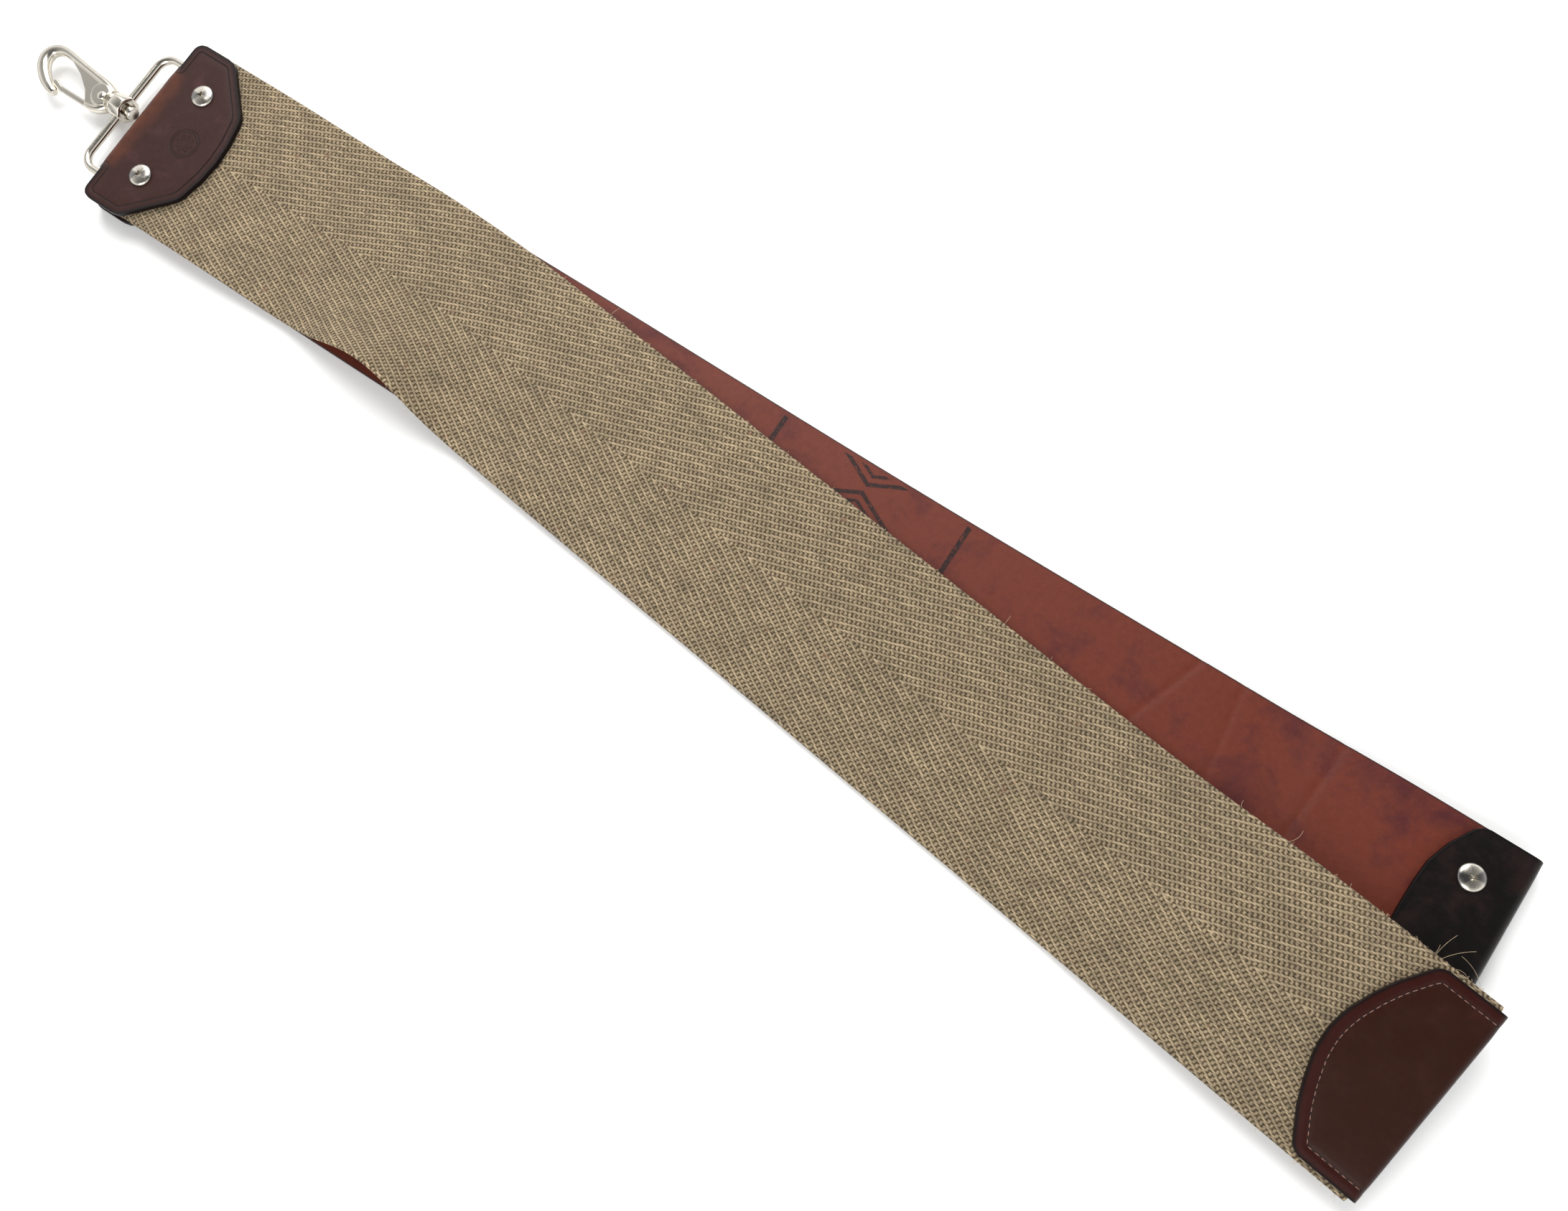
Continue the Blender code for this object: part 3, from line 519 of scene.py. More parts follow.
def layered_sheet(bm, lengthwise, crosswise, place, values, missing=None):
    """A sheet with two faces and a rim, made from a flat grid.

    place(t, u, top) gives a point, t and u from 0 to 1. values(t, u) names the numbers that are
    stored there, and missing(t, u) says where the grid has a gap.
    """
    bm.verts.layers.float_vector.new("flat")
    names = sorted(values(0.5, 0.5))
    for name in names:
        bm.verts.layers.float.new(name)
    flat = bm.verts.layers.float_vector["flat"]
    layers = {name: bm.verts.layers.float[name] for name in names}
    bmesh.ops.create_grid(bm, x_segments=lengthwise, y_segments=crosswise, size=0.5)
    for vertex in bm.verts:
        vertex[flat] = (vertex.co.x + 0.5, vertex.co.y + 0.5, 0.0)
    if missing:
        gone = [face for face in bm.faces if missing(*(face.calc_center_median().xy + Vector((0.5, 0.5))))]
        bmesh.ops.delete(bm, geom=gone, context="FACES")
    for vertex in bm.verts:
        for name, value in values(*vertex[flat][:2]).items():
            vertex[layers[name]] = value
    raised = bmesh.ops.extrude_face_region(bm, geom=bm.faces[:])
    for vertex in verts_in(raised["geom"]):
        vertex[flat].z = 1.0
    for vertex in bm.verts:
        t, u, top = vertex[flat]
        vertex.co = place(t, u, top > 0.5)
    bmesh.ops.recalc_face_normals(bm, faces=bm.faces)


def verts_in(geometry):
    """The points among what a mesh operation returned."""
    return [item for item in geometry if isinstance(item, bmesh.types.BMVert)]


def turned(bm, profile, steps, centre=(0, 0, 0), axis=(0, 0, 1)):
    """A solid turned round an axis through centre, from (radius, height) points, bottom to top."""
    turn = Vector(axis).to_track_quat("Z", "Y").to_matrix().to_4x4()
    whole = Matrix.Translation(centre) @ turn
    points = [bm.verts.new(whole @ Vector((r, 0, z))) for r, z in profile]
    edges = [bm.edges.new(pair) for pair in zip(points, points[1:])]
    bmesh.ops.spin(
        bm,
        geom=points + edges,
        cent=centre,
        axis=Vector(axis).normalized(),
        angle=2 * math.pi,
        steps=steps,
        use_merge=True,
    )
    bmesh.ops.remove_doubles(bm, verts=bm.verts, dist=0.2e-3 * MM)
    bmesh.ops.recalc_face_normals(bm, faces=bm.faces)


def lofted(bm, stations, sides=20, section=lambda c, s: (c, s), closed=False):
    """A tube through stations of (centre, across, up, half width, half height)."""
    unit = bm.verts.layers.float_vector.get("unit") or bm.verts.layers.float_vector.new("unit")
    ring = bmesh.ops.create_circle(bm, cap_ends=False, radius=1.0, segments=sides)["verts"]
    for vertex in ring:
        vertex[unit] = vertex.co
    edges = list({edge for vertex in ring for edge in vertex.link_edges})
    first = edges

    def set_ring(verts, station):
        centre, across, up, half_width, half_height = station
        for vertex in verts:
            c, s = section(*vertex[unit][:2])
            vertex.co = Vector(centre) + Vector(across) * (c * half_width) + Vector(up) * (s * half_height)

    set_ring(ring, stations[0])
    for station in stations[1:]:
        swept = bmesh.ops.extrude_edge_only(bm, edges=edges)["geom"]
        edges = [item for item in swept if isinstance(item, bmesh.types.BMEdge)]
        set_ring(verts_in(swept), station)
        edges = [edge for edge in edges if all(v in swept for v in edge.verts)]
    if closed:
        bmesh.ops.bridge_loops(bm, edges=first + edges)
    else:
        for loop in (first, edges):
            bmesh.ops.contextual_create(bm, geom=loop)
    bmesh.ops.recalc_face_normals(bm, faces=bm.faces)


def path_stations(points, sizes, height):
    """Stations along points in plan at a height; sizes gives half width and half height at each."""
    stations = []
    for i, (x, y) in enumerate(points):
        before, after = points[max(i - 1, 0)], points[min(i + 1, len(points) - 1)]
        along = Vector((after[0] - before[0], after[1] - before[1], 0)).normalized()
        across = Vector((-along.y, along.x, 0))
        stations.append(((x, y, height), across, (0, 0, 1), *sizes[i]))
    return stations


def smooth_path(points, steps):
    """Points on a curve through the given ones, with steps between each pair."""
    result = []
    last = len(points) - 1
    for i in range(last):
        p0, p1, p2, p3 = (Vector(points[min(max(k, 0), last)]) for k in (i - 1, i, i + 1, i + 2))
        for k in range(steps):
            t = k / steps
            square = (2 * p0 - 5 * p1 + 4 * p2 - p3) * t**2
            cube = (3 * p1 - p0 - 3 * p2 + p3) * t**3
            result.append(0.5 * ((2 * p1) + (p2 - p0) * t + square + cube))
    return result + [Vector(points[-1])]


def distance_to(path, x, y):
    """Distance in plan from a point to a path of (x, y) points."""
    best = 1e9
    for (ax, ay), (bx, by) in zip(path, path[1:]):
        dx, dy = bx - ax, by - ay
        t = min(max(((x - ax) * dx + (y - ay) * dy) / (dx * dx + dy * dy), 0), 1)
        best = min(best, (ax + dx * t - x) ** 2 + (ay + dy * t - y) ** 2)
    return math.sqrt(best)


# Straps -------------------------------------------------------------------------------------------


TAB_TIP = 45.3 * MM
HANDLE_INNER = 563 * MM
GAP = 0.3 * MM
LEATHER_LIFT = 3.6 * MM


def leather_height(x):
    """The leather strap's underside: raised inside the hanger and the handle, flat between them."""
    leaves_hanger = 1 - between(x, TAB_TIP + 1 * MM, TAB_TIP + 65 * MM)
    enters_handle = between(x, HANDLE_INNER - 65 * MM, HANDLE_INNER - 1 * MM)
    return LEATHER_LIFT * max(leaves_hanger, enters_handle)


class STROP_OT_leather_strap(bpy.types.Operator):
    """Builds the long leather strap"""

    bl_idname = "strop.leather_strap"
    bl_label = "Leather Strap"

    waist = 1.2 * MM  # the +Y edge draws in this much along its middle
    waist_middle = 355 * MM
    waist_half_length = 190 * MM
    stamp_middle = 338 * MM
    rule_mm = 40.0  # each rule's distance from the stamp's middle
    lozenge_half_mm = 9.0
    stamp_half_mm = 35.0
    upper_face_mm = 1.8
    creases = ((458 * MM, 0.35), (492 * MM, -0.12), (523 * MM, 0.06))  # place and slant
    rows, columns = 590, 46

    def place(self, sizes, t, u, top):
        x = STRAP_START + (STRAP_END - STRAP_START) * t - FOLD_X
        from_ends = self.waist_half_length - abs(x - self.waist_middle)
        drawn = self.waist * between(from_ends, 0, self.waist_half_length)
        y = (u - 0.5) * sizes.strap_width - drawn * max(u - 0.5, 0) * 2
        z = leather_height(x)
        if top:
            z += sizes.strap_thickness
            # Soft waves where the strap has been bent, more of them close to the handle.
            bent = between(x, 380 * MM, 520 * MM)
            wave = noise.noise(Vector((x / (16 * MM), y / (60 * MM), 0)))
            z += wave * 0.09 * MM * (0.35 + bent)
            for place, slant in self.creases:
                z -= 0.3 * MM * pulse(x - place - slant * y, 1.2 * MM) * between(y, -20 * MM, 12 * MM)
        return at(x), y, z

    def stamp(self, tree, shader):
        """A plain border stamped in black ink: two rules with a row of lozenges between them."""
        place = object_place(tree)
        moved = (-at(self.stamp_middle) / MM, 0.0, 0.0)
        millimetres = {"Vector": place, "Location": moved, "Scale": (1 / MM, 1 / MM, 1 / MM)}
        axes = add(tree, "SeparateXYZ", {0: add(tree, "Mapping", millimetres)})
        off = maths(tree, "ABSOLUTE", axes.outputs["X"])
        repeat = maths(tree, "PINGPONG", axes.outputs["Y"], self.lozenge_half_mm)
        lozenge = maths(tree, "MULTIPLY_ADD", off, 0.5, repeat)
        lines = ((off, self.rule_mm, 1.0), (lozenge, 7.2, 0.9), (lozenge, 3.6, 0.7))
        marks = any_of(tree, [band(tree, *line, 0.8, 1.2) for line in lines])
        worn = mapped(tree, noisy(tree, place, per(1.1), 4.0, 0.7), (0.36, 0.46), (0.25, 0.92))
        side = maths(tree, "ABSOLUTE", axes.outputs["Y"])
        inside = maths(tree, "LESS_THAN", side, self.stamp_half_mm)
        upper = maths(tree, "GREATER_THAN", axes.outputs["Z"], self.upper_face_mm)
        for limit in (worn, inside, upper):
            marks = maths(tree, "MULTIPLY", marks, limit)
        overlaid(tree, shader, marks, linear("#1A1212"))

    def execute(self, context):
        sizes, colours = context.scene.strop_sizes, context.scene.strop_colours
        material, tree, shader, _ = leather(
            "russet_bridle_leather",
            colours.russet[:],
            colours.russet_stain[:],
            linear("#2C1512"),
            patch_mm=24,
            patch_share=0.12,
            roughness=0.44,
            grain_mm=0.55,
            grain=0.35,
            coat=0.01,
            shine=0.2,
            rim_mm=0.9,
        )
        self.stamp(tree, shader)
        bm = bmesh.new()

        def values(t, u):
            across = min(u, 1 - u) * sizes.strap_width
            along = min(t, 1 - t) * (STRAP_END - STRAP_START)
            return {"edge_mm": min(across, along) / MM}

        layered_sheet(bm, self.rows, self.columns, lambda t, u, top: self.place(sizes, t, u, top), values)
        strap = rounded_rim(to_object(bm, "russet_strap", material), 0.55 * MM)
        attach(strap, "strop")
        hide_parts("leather_strap")
        return {"FINISHED"}


class LinenRoute:
    """Where the linen lies: clamped straight, turned with a raised inner edge, straight to its cap."""

    offset_y = 0.8 * MM
    hinge_x = 46.0 * MM
    clamped_start = 8.0 * MM
    cap_fold_x = 600.5 * MM
    inside_cap = 2.8 * MM  # the linen stops this far short of the cap's fold
    turn = math.radians(-6.5)
    turn_starts, turn_ends = 105 * MM, 200 * MM
    buckle_height, buckle_middle, buckle_half_length, buckle_power = 14 * MM, 155 * MM, 52 * MM, 1.6
    prop_starts, prop_ends = 470 * MM, 553 * MM
    prop_height, prop_slope = 9.5 * MM, 0.106

    def __init__(self, sizes, step=0.5 * MM):
        self.width = sizes.linen_width
        self.strap_half = sizes.strap_width / 2
        self.strap_thickness = sizes.strap_thickness
        self.step = step
        x, y = self.clamped_start, self.offset_y
        self.points = []
        while x < self.cap_fold_x - self.inside_cap:
            heading = self.turn * between(x, self.turn_starts, self.turn_ends)
            self.points.append((x, y, heading))
            x += step * math.cos(heading)
            y += step * math.sin(heading)
        self.length = (len(self.points) - 1) * step
        self.end = self.points[-1]

    def centre(self, distance):
        """Centre line at a distance from the clamped end, as x, y and heading."""
        place = min(max(distance / self.step, 0), len(self.points) - 1.000001)
        i = int(place)
        x, y, heading = self.points[i]
        rest = (place - i) * self.step
        return x + rest * math.cos(heading), y + rest * math.sin(heading), heading

    def underside(self, distance, v):
        """A point on the linen's underside, v across it from its centre line."""
        x, y, heading = self.centre(distance)
        bend = min(abs(x - self.buckle_middle) / self.buckle_half_length, 1) * math.pi / 2
        lift = self.buckle_height * math.cos(bend) ** 2
        inner = max(-v, 0) / (self.width / 2)
        spread = 2 * self.buckle_power - 1
        inward = (lift * self.buckle_power) ** 2 / (self.width * spread) * inner**spread
        across = v + inward
        px, py = x - across * math.sin(heading), y + across * math.cos(heading)
        resting = leather_height(px) + self.strap_thickness + GAP
        overhang = between(-py, self.strap_half + 2 * MM, self.strap_half + 20 * MM)
        resting -= (resting - GAP) * overhang
        propped = self.prop_height + self.prop_slope * v
        climb = between(x, self.prop_starts, self.prop_ends)
        height = resting + (propped - resting) * climb + lift * inner**self.buckle_power
        return Vector((at(px), py, height))

    def up(self, distance, v):
        """The linen's upward normal."""
        reach = 2 * MM
        along = self.underside(distance + reach, v) - self.underside(distance - reach, v)
        across = self.underside(distance, v + reach) - self.underside(distance, v - reach)
        return along.cross(across).normalized()

    def cap_frame(self, sizes):
        """Where the cap sits: its fold at the origin, its flaps towards -X."""
        x, y, heading = self.end
        x, y = x + self.inside_cap * math.cos(heading), y + self.inside_cap * math.sin(heading)
        along = Vector((math.cos(heading), math.sin(heading), 0))
        across = Vector((-math.sin(heading), math.cos(heading), self.prop_slope)).normalized()
        normal = along.cross(across)
        turn = Matrix((along, across, normal)).transposed().to_4x4()
        place = Vector((at(x), y, self.prop_height)) + normal * sizes.linen_thickness / 2
        return Matrix.Translation(place) @ turn


def warp_is_up(warp, weft):
    """Whether the warp yarn is on top where two yarns cross, counted from the centre line."""
    return (weft - abs(warp)) % 4 < 2


class STROP_OT_linen(bpy.types.Operator):
    """Builds the woven linen strap and its loose fibres"""

    bl_idname = "strop.linen"
    bl_label = "Linen Strap"

    relief = 0.14 * MM  # an upper yarn stands this far above a lower one
    fibre_radius = 0.045 * MM
    first_fibre = 60 * MM
    long_share = 0.09
    corner_fibres = 3  # the longest ones, at the +Y corner beside the cap

    def execute(self, context):
        sizes, colours = context.scene.strop_sizes, context.scene.strop_colours
        route = LinenRoute(sizes)
        half_count = round(sizes.linen_width / sizes.warp_pitch / 2)
        wefts = round(route.length / sizes.weft_pitch)
        warps = 2 * half_count

        def place(t, u, top):
            weft, warp = round(t * wefts), round(u * warps) - half_count
            distance, v = t * route.length, (u - 0.5) * sizes.linen_width
            rim = half_count - abs(warp)
            # Selvage: the weft turns back in pairs, which scallops the edge and thins it.
            if rim == 0:
                v += math.copysign(0.28 * MM * (1 if weft // 2 % 2 else -1), v)
            fullness = (0.34, 0.78, 0.95)[rim] if rim < 3 else 1.0
            middle = sizes.linen_thickness / 2
            wander = noise.noise(Vector((distance / (9 * MM), v / (4 * MM), 5 if top else 9))) * 0.10 * MM
            raised = warp_is_up(warp, weft) == top
            offset = fullness * (middle - self.relief / 2 + (self.relief if raised else 0) + wander)
            base = route.underside(distance, v)
            return base + route.up(distance, v) * (middle + (offset if top else -offset))

        def values(t, u):
            return {
                "along_mm": t * wefts * sizes.weft_pitch / MM,
                "across_mm": (u - 0.5) * warps * sizes.warp_pitch / MM,
            }

        bm = bmesh.new()
        layered_sheet(bm, wefts, warps, place, values)
        along, across = (bm.verts.layers.float[name] for name in ("along_mm", "across_mm"))
        weave = bm.loops.layers.uv.new("weave")
        for face in bm.faces:
            for loop in face.loops:
                loop[weave].uv = (loop.vert[along], loop.vert[across])
        webbing = to_object(bm, "linen_webbing", linen_material(sizes, colours), 80)
        hinge = at(route.hinge_x)
        fibres = self.fibres(context, route)
        start, end = (hinge - 1 * MM, 0, 8 * MM), (hinge + 18 * MM, 0, 8 * MM)
        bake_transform(webbing, "strop", "linen", start=start, end=end)
        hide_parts("linen_strap", "linen_clamped_end")
        return {"FINISHED"}

    def fibres(self, context, route):
        """Stray flax fibres along both selvages, with more of them and the longest ones close to the cap."""
        sizes = context.scene.strop_sizes
        chance = random.Random(11)
        data = bpy.data.curves.new("fibres", "CURVE")
        data.dimensions = "3D"
        data.bevel_depth = self.fibre_radius
        data.bevel_resolution = 0
        half = sizes.linen_width / 2
        for number in range(sizes.fibre_count):
            long = chance.random() < self.long_share
            distance = chance.uniform(self.first_fibre + 2 * MM, route.length - 2 * MM)
            if number % 4 == 0:
                distance = route.length - chance.uniform(1, 45) * MM
            side = chance.choice((-1, 1))
            inset = chance.uniform(-0.1, 1.0) * MM
            reach = chance.uniform(3.5, 8.5) * MM if long else chance.uniform(0.8, 2.6) * MM
            if number < self.corner_fibres:
                long, side = True, 1
                reach = chance.uniform(10, 16) * MM
                distance = route.length - chance.uniform(2, 30) * MM
            start = side * (half - inset)
            lean, curl = chance.uniform(-1.2, 1.2), chance.uniform(-2.6, 2.6)
            rise = chance.uniform(0.1, 0.9)
            count = 9 if long else 6
            spline = data.splines.new("POLY")
            spline.points.add(count - 1)
            s, v, h = distance, start, chance.uniform(0.6, 1.9) * MM
            up = route.up(distance, start)
            for point in spline.points:
                place = route.underside(min(max(s, self.first_fibre), route.length), v) + up * h
                place.z = max(place.z, 0.15 * MM)
                point.co = (*place, 1)
                heading = side * (math.pi / 2 - lean)
                s += reach / count * math.cos(heading)
                v += reach / count * math.sin(heading)
                h += reach / count * rise * 0.4
                lean += curl / count
                rise -= 1.3 / count
        curve = bpy.data.objects.new("fibres", data)
        context.scene.collection.objects.link(curve)
        bpy.context.view_layer.update()
        mesh = bpy.data.meshes.new_from_object(curve.evaluated_get(bpy.context.evaluated_depsgraph_get()))
        bpy.data.objects.remove(curve, do_unlink=True)
        obj = bpy.data.objects.new("linen_fibres", mesh)
        context.scene.collection.objects.link(obj)
        mesh.materials.clear()
        mesh.materials.append(fibre_material(context.scene.strop_colours))
        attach(obj, "linen")
        return obj


# Folded leathers ----------------------------------------------------------------------------------


def folded_flaps(
    name,
    material,
    placed,
    *,
    half_width,
    reach,
    half_gap,
    thickness,
    rows,
    fold_rows,
    columns,
    relief,
    fold_half=None,
    ear_start=None,
    ear_radius=0,
):
    """Leather folded into two flaps that run towards -X from a fold at x = 0.

    reach is the path of the far edge from the middle to the side, as (x, y) in millimetres, and
    relief(x, y, edge_mm) how far the face swells. Where the fold is narrower than the flaps, they
    go on beside it as ears, from fold_half outwards and up to ear_start.
    """
    reach = [(x * MM, y * MM) for x, y in reach]
    fold_half = fold_half or half_width
    radius = half_gap + thickness / 2
    crown = -half_gap - thickness
    total = 2 * rows + fold_rows
    ear_rows = 3
    fold_share = 2 / 3  # of the columns, when there are ears
    beyond_fold = 30 * MM
    rim = [(-x, y) for x, y in reach]
    if ear_start is None:
        rim.append((beyond_fold, half_width))
    else:
        centre = (-ear_start - ear_radius, half_width - ear_radius)
        for a in (0, 0.4, 0.8, 1.2, math.pi / 2):
            rim.append((centre[0] + ear_radius * math.sin(a), centre[1] + ear_radius * math.cos(a)))
        rim += [(-ear_start, fold_half), (beyond_fold, fold_half)]

    def far_edge(y):
        for (x1, y1), (x2, y2) in zip(reach, reach[1:]):
            if y <= y2:
                return x1 + (x2 - x1) * (y - y1) / (y2 - y1)
        return reach[-1][0]

    def across(u):
        side = 2 * u - 1
        if ear_start is None:
            return side * half_width
        if abs(side) <= fold_share:
            return side / fold_share * fold_half
        outward = (abs(side) - fold_share) / (1 - fold_share)
        return math.copysign(fold_half + outward * (half_width - fold_half), side)

    def ear_front(y):
        """Where an ear ends, its corner rounded."""
        corner = max(abs(y) - half_width + ear_radius, 0)
        return -ear_start - ear_radius + math.sqrt(max(ear_radius**2 - corner**2, 0))

    def unrolled(t, u):
        """x in plan as if unfolded, y, the angle round the fold, and which flap."""
        row, y = t * total, across(u)
        edge = far_edge(abs(y))
        on_ear = ear_start is not None and abs(y) > fold_half + 0.01 * MM
        near = min(crown, ear_front(y) - 1 * MM) if on_ear else crown
        if row <= rows:
            return -edge + (edge + near) * row / rows, y, 0.0, 1
        if row >= rows + fold_rows:
            return -edge + (edge + near) * (total - row) / rows, y, math.pi, -1
        turn = (row - rows) / fold_rows
        if on_ear:
            flap = 1 if turn < 0.5 else -1
            beyond = min(min(turn, 1 - turn) * fold_rows / ear_rows, 1)
            return near + beyond * (ear_front(y) - near), y, 0.0 if flap > 0 else math.pi, flap
        angle = math.pi * turn
        return crown + radius * min(angle, math.pi - angle), y, angle, 1 if turn < 0.5 else -1

    def missing(t, u):
        row, y = t * total, abs(across(u))
        inside = rows + ear_rows < row < rows + fold_rows - ear_rows
        return ear_start is not None and inside and y > fold_half

    def values(t, u):
        x, y, _, _ = unrolled(t, u)
        near_fold = pulse(max(crown + 2 * MM - x, 0), 7 * MM)
        on_fold = between(fold_half - abs(y), -1 * MM, 5 * MM)
        return {"edge_mm": distance_to(rim, x, abs(y)) / MM, "fold": near_fold * on_fold}

    def place(t, u, top):
        x, y, angle, flap = unrolled(t, u)
        offset = thickness / 2 * (1 if top else -1)
        bulge = relief(x, y, distance_to(rim, x, abs(y)) / MM)
        if 0 < angle < math.pi:
            r = radius + offset + bulge * abs(math.cos(angle))
            return placed @ Vector((crown + r * math.sin(angle), y, r * math.cos(angle)))
        return placed @ Vector((x, y, flap * (radius + offset + bulge)))

    bm = bmesh.new()
    layered_sheet(bm, total, columns, place, values, missing)
    return to_object(bm, name, material, 50)


def box_middle(name):
    """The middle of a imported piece's box."""
    low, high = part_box(name)
    return (low + high) / 2


class STROP_OT_hanger(bpy.types.Operator):
    """Builds the folded leather hanger that clamps both straps"""

    bl_idname = "strop.hanger"
    bl_label = "Hanger"

    mark_middle = 28.5 * MM
    mark_rings_mm = ((6.2, 0.28), (5.2, 0.2))  # radius and half width
    petal_inner_mm, petal_length_mm, petal_pairs = 1.2, 2.6, 4
    edge_path = ((44.3, 0), (43.6, 9), (41.5, 18.6), (40.7, 20.6), (39.2, 22.6))
    edge_path += ((24.6, 37.3), (23.3, 38.6), (21.6, 39.3), (19.5, 39.5))

    def tool_mark(self, tree, place):
        """A mask for a plain tool mark: two pressed rings round eight petals."""
        moved = add(tree, "Mapping", {"Vector": place, "Location": (-at(self.mark_middle), 0.0, 0.0)})
        axes = add(tree, "SeparateXYZ", {0: moved})
        x, y = axes.outputs["X"], axes.outputs["Y"]
        square = maths(tree, "MULTIPLY_ADD", y, y, maths(tree, "MULTIPLY", x, x))
        radius = maths(tree, "MULTIPLY", maths(tree, "SQRT", square), 1 / MM)
        marks = [band(tree, radius, ring, half, 0.5, 1.4) for ring, half in self.mark_rings_mm]
        angle = maths(tree, "MULTIPLY", maths(tree, "ARCTAN2", y, x), self.petal_pairs)
        petals = maths(tree, "ABSOLUTE", maths(tree, "COSINE", angle))
        tip = maths(tree, "MULTIPLY_ADD", petals, self.petal_length_mm, self.petal_inner_mm)
        marks.append(mapped(tree, apart(tree, tip, radius), (0.1, 0.34), (1.0, 0.0)))
        upper = maths(tree, "GREATER_THAN", axes.outputs["Z"], HANGER_HIGH - 1.4 * MM)
        return maths(tree, "MULTIPLY", any_of(tree, marks), upper)

    def material(self, colours, line_mm):
        made, tree, shader, bump = leather(
            "chocolate_latigo_leather",
            colours.hanger[:],
            linear("#4A2A2C"),
            linear("#120B0C"),
            patch_mm=14,
            patch_share=0.08,
            roughness=0.40,
            grain_mm=0.45,
            grain=0.3,
            coat=0.02,
            shine=0.17,
            rim_mm=2.1,
            line_mm=line_mm,
        )
        # The wax thins over the fold, where a warmer brown shows through.
        place = object_place(tree)
        thin = maths(tree, "MULTIPLY", stored(tree, "fold"), noisy(tree, place, per(6), 4.0))
        overlaid(tree, shader, mapped(tree, thin, (0.12, 0.62), (0.0, 0.85)), colours.hanger_pull[:])
        marks = self.tool_mark(tree, place)
        # Painted shade: the pressed rings and petals are darkened, partly as burnish and partly as painted
        # shade in the recesses.
        overlaid(tree, shader, maths(tree, "MULTIPLY", marks, 0.6), linear("#1E1112"))
        surface(tree, shader, {"Normal": bumped(tree, marks, 0.8, 0.3, bump, invert=True)})
        return made

    def execute(self, context):
        sizes, colours = context.scene.strop_sizes, context.scene.strop_colours
        screws = [box_middle(name) for name in ("hanger_screw_1", "hanger_screw_2")]
        fold_x = at(1.0 * MM)

        def relief(x, y, edge_mm):
            """The leather swells a little away from its screws, and its edge is pressed thinner."""
            swell = 0.22 * MM * between(edge_mm, 1.0, 6.0)
            for screw in screws:
                away = math.hypot(fold_x - x - screw.x, y - screw.y)
                swell *= 1 - pulse(away, 6.5 * MM)
            wrinkle = noise.noise(Vector((x / (3.2 * MM), y / (7 * MM), 2))) * 0.05 * MM
            return swell + wrinkle * between(edge_mm, 0.3, 3.0)

        flaps = folded_flaps(
            "hanger_flaps",
            self.material(colours, sizes.crease_inset / MM),
            Matrix.Translation((fold_x, 0, HANGER_MID)) @ Matrix.Rotation(math.pi, 4, "Z"),
            half_width=39.5 * MM,
            reach=self.edge_path,
            half_gap=(HANGER_HIGH - HANGER_LOW) / 2 - sizes.flap_thickness,
            thickness=sizes.flap_thickness,
            rows=58,
            fold_rows=18,
            columns=120,
            relief=relief,
            fold_half=26.2 * MM,
            ear_start=3.2 * MM,
            ear_radius=4.2 * MM,
        )
        rounded_rim(flaps, 0.45 * MM)
        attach(flaps, "strop")
        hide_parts("hanger_tab")
        return {"FINISHED"}


class STROP_OT_handle(bpy.types.Operator):
    """Builds the folded leather handle"""

    bl_idname = "strop.handle"
    bl_label = "Handle"

    edge_path = ((32.2, 0), (32.0, 10), (31.3, 18), (28.5, 26.5), (24.7, 33.4), (23.3, 35.6), (21.3, 37.1))
    edge_path += ((19.5, 37.5),)

    def execute(self, context):
        sizes, colours = context.scene.strop_sizes, context.scene.strop_colours
        material, *_ = leather(
            "black_skirting_leather",
            colours.handle[:],
            linear("#221310"),
            linear("#060505"),
            patch_mm=18,
            patch_share=0.16,
            roughness=0.36,
            grain_mm=0.5,
            grain=0.25,
            coat=0.03,
            shine=0.2,
            rim_mm=1.2,
        )
        screws = [box_middle(name) for name in ("handle_screw_1", "handle_screw_2")]

        def relief(x, y, edge_mm):
            """Like the hanger's: it swells between its screws and thins to the edge."""
            swell = 0.20 * MM * between(edge_mm, 0.8, 6.0)
            for screw in screws:
                swell *= 1 - pulse(math.hypot(HANDLE_END + x - screw.x, y - screw.y), 6.5 * MM)
            wrinkle = noise.noise(Vector((x / (4 * MM), y / (8 * MM), 7))) * 0.06 * MM
            return swell + wrinkle * between(edge_mm, 0.3, 3.0)

        flaps = folded_flaps(
            "handle_flaps",
            material,
            Matrix.Translation((HANDLE_END, 0, (HANDLE_LOW + HANDLE_HIGH) / 2)),
            half_width=37.5 * MM,
            reach=self.edge_path,
            half_gap=(HANDLE_HIGH - HANDLE_LOW) / 2 - sizes.flap_thickness,
            thickness=sizes.flap_thickness,
            rows=44,
            fold_rows=14,
            columns=110,
            relief=relief,
        )
        rounded_rim(flaps, 0.45 * MM)
        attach(flaps, "strop")
        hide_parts("leather_handle")
        return {"FINISHED"}


def inset_path(path, distance):
    """An open path moved sideways, to the right of its direction."""
    lines = []
    for a, b in zip(path, path[1:]):
        a, b = Vector(a), Vector(b)
        along = (b - a).normalized()
        side = Vector((along.y, -along.x)) * distance
        lines.append((a + side, along))
    moved = [lines[0][0]]
    for (p, d), (q, e) in zip(lines, lines[1:]):
        cross = d.x * e.y - d.y * e.x
        if abs(cross) < 1e-6:
            moved.append(q)
            continue
        t = ((q.x - p.x) * e.y - (q.y - p.y) * e.x) / cross
        moved.append(p + d * t)
    end, along = Vector(path[-1]), lines[-1][1]
    moved.append(end + Vector((along.y, -along.x)) * distance)
    return moved


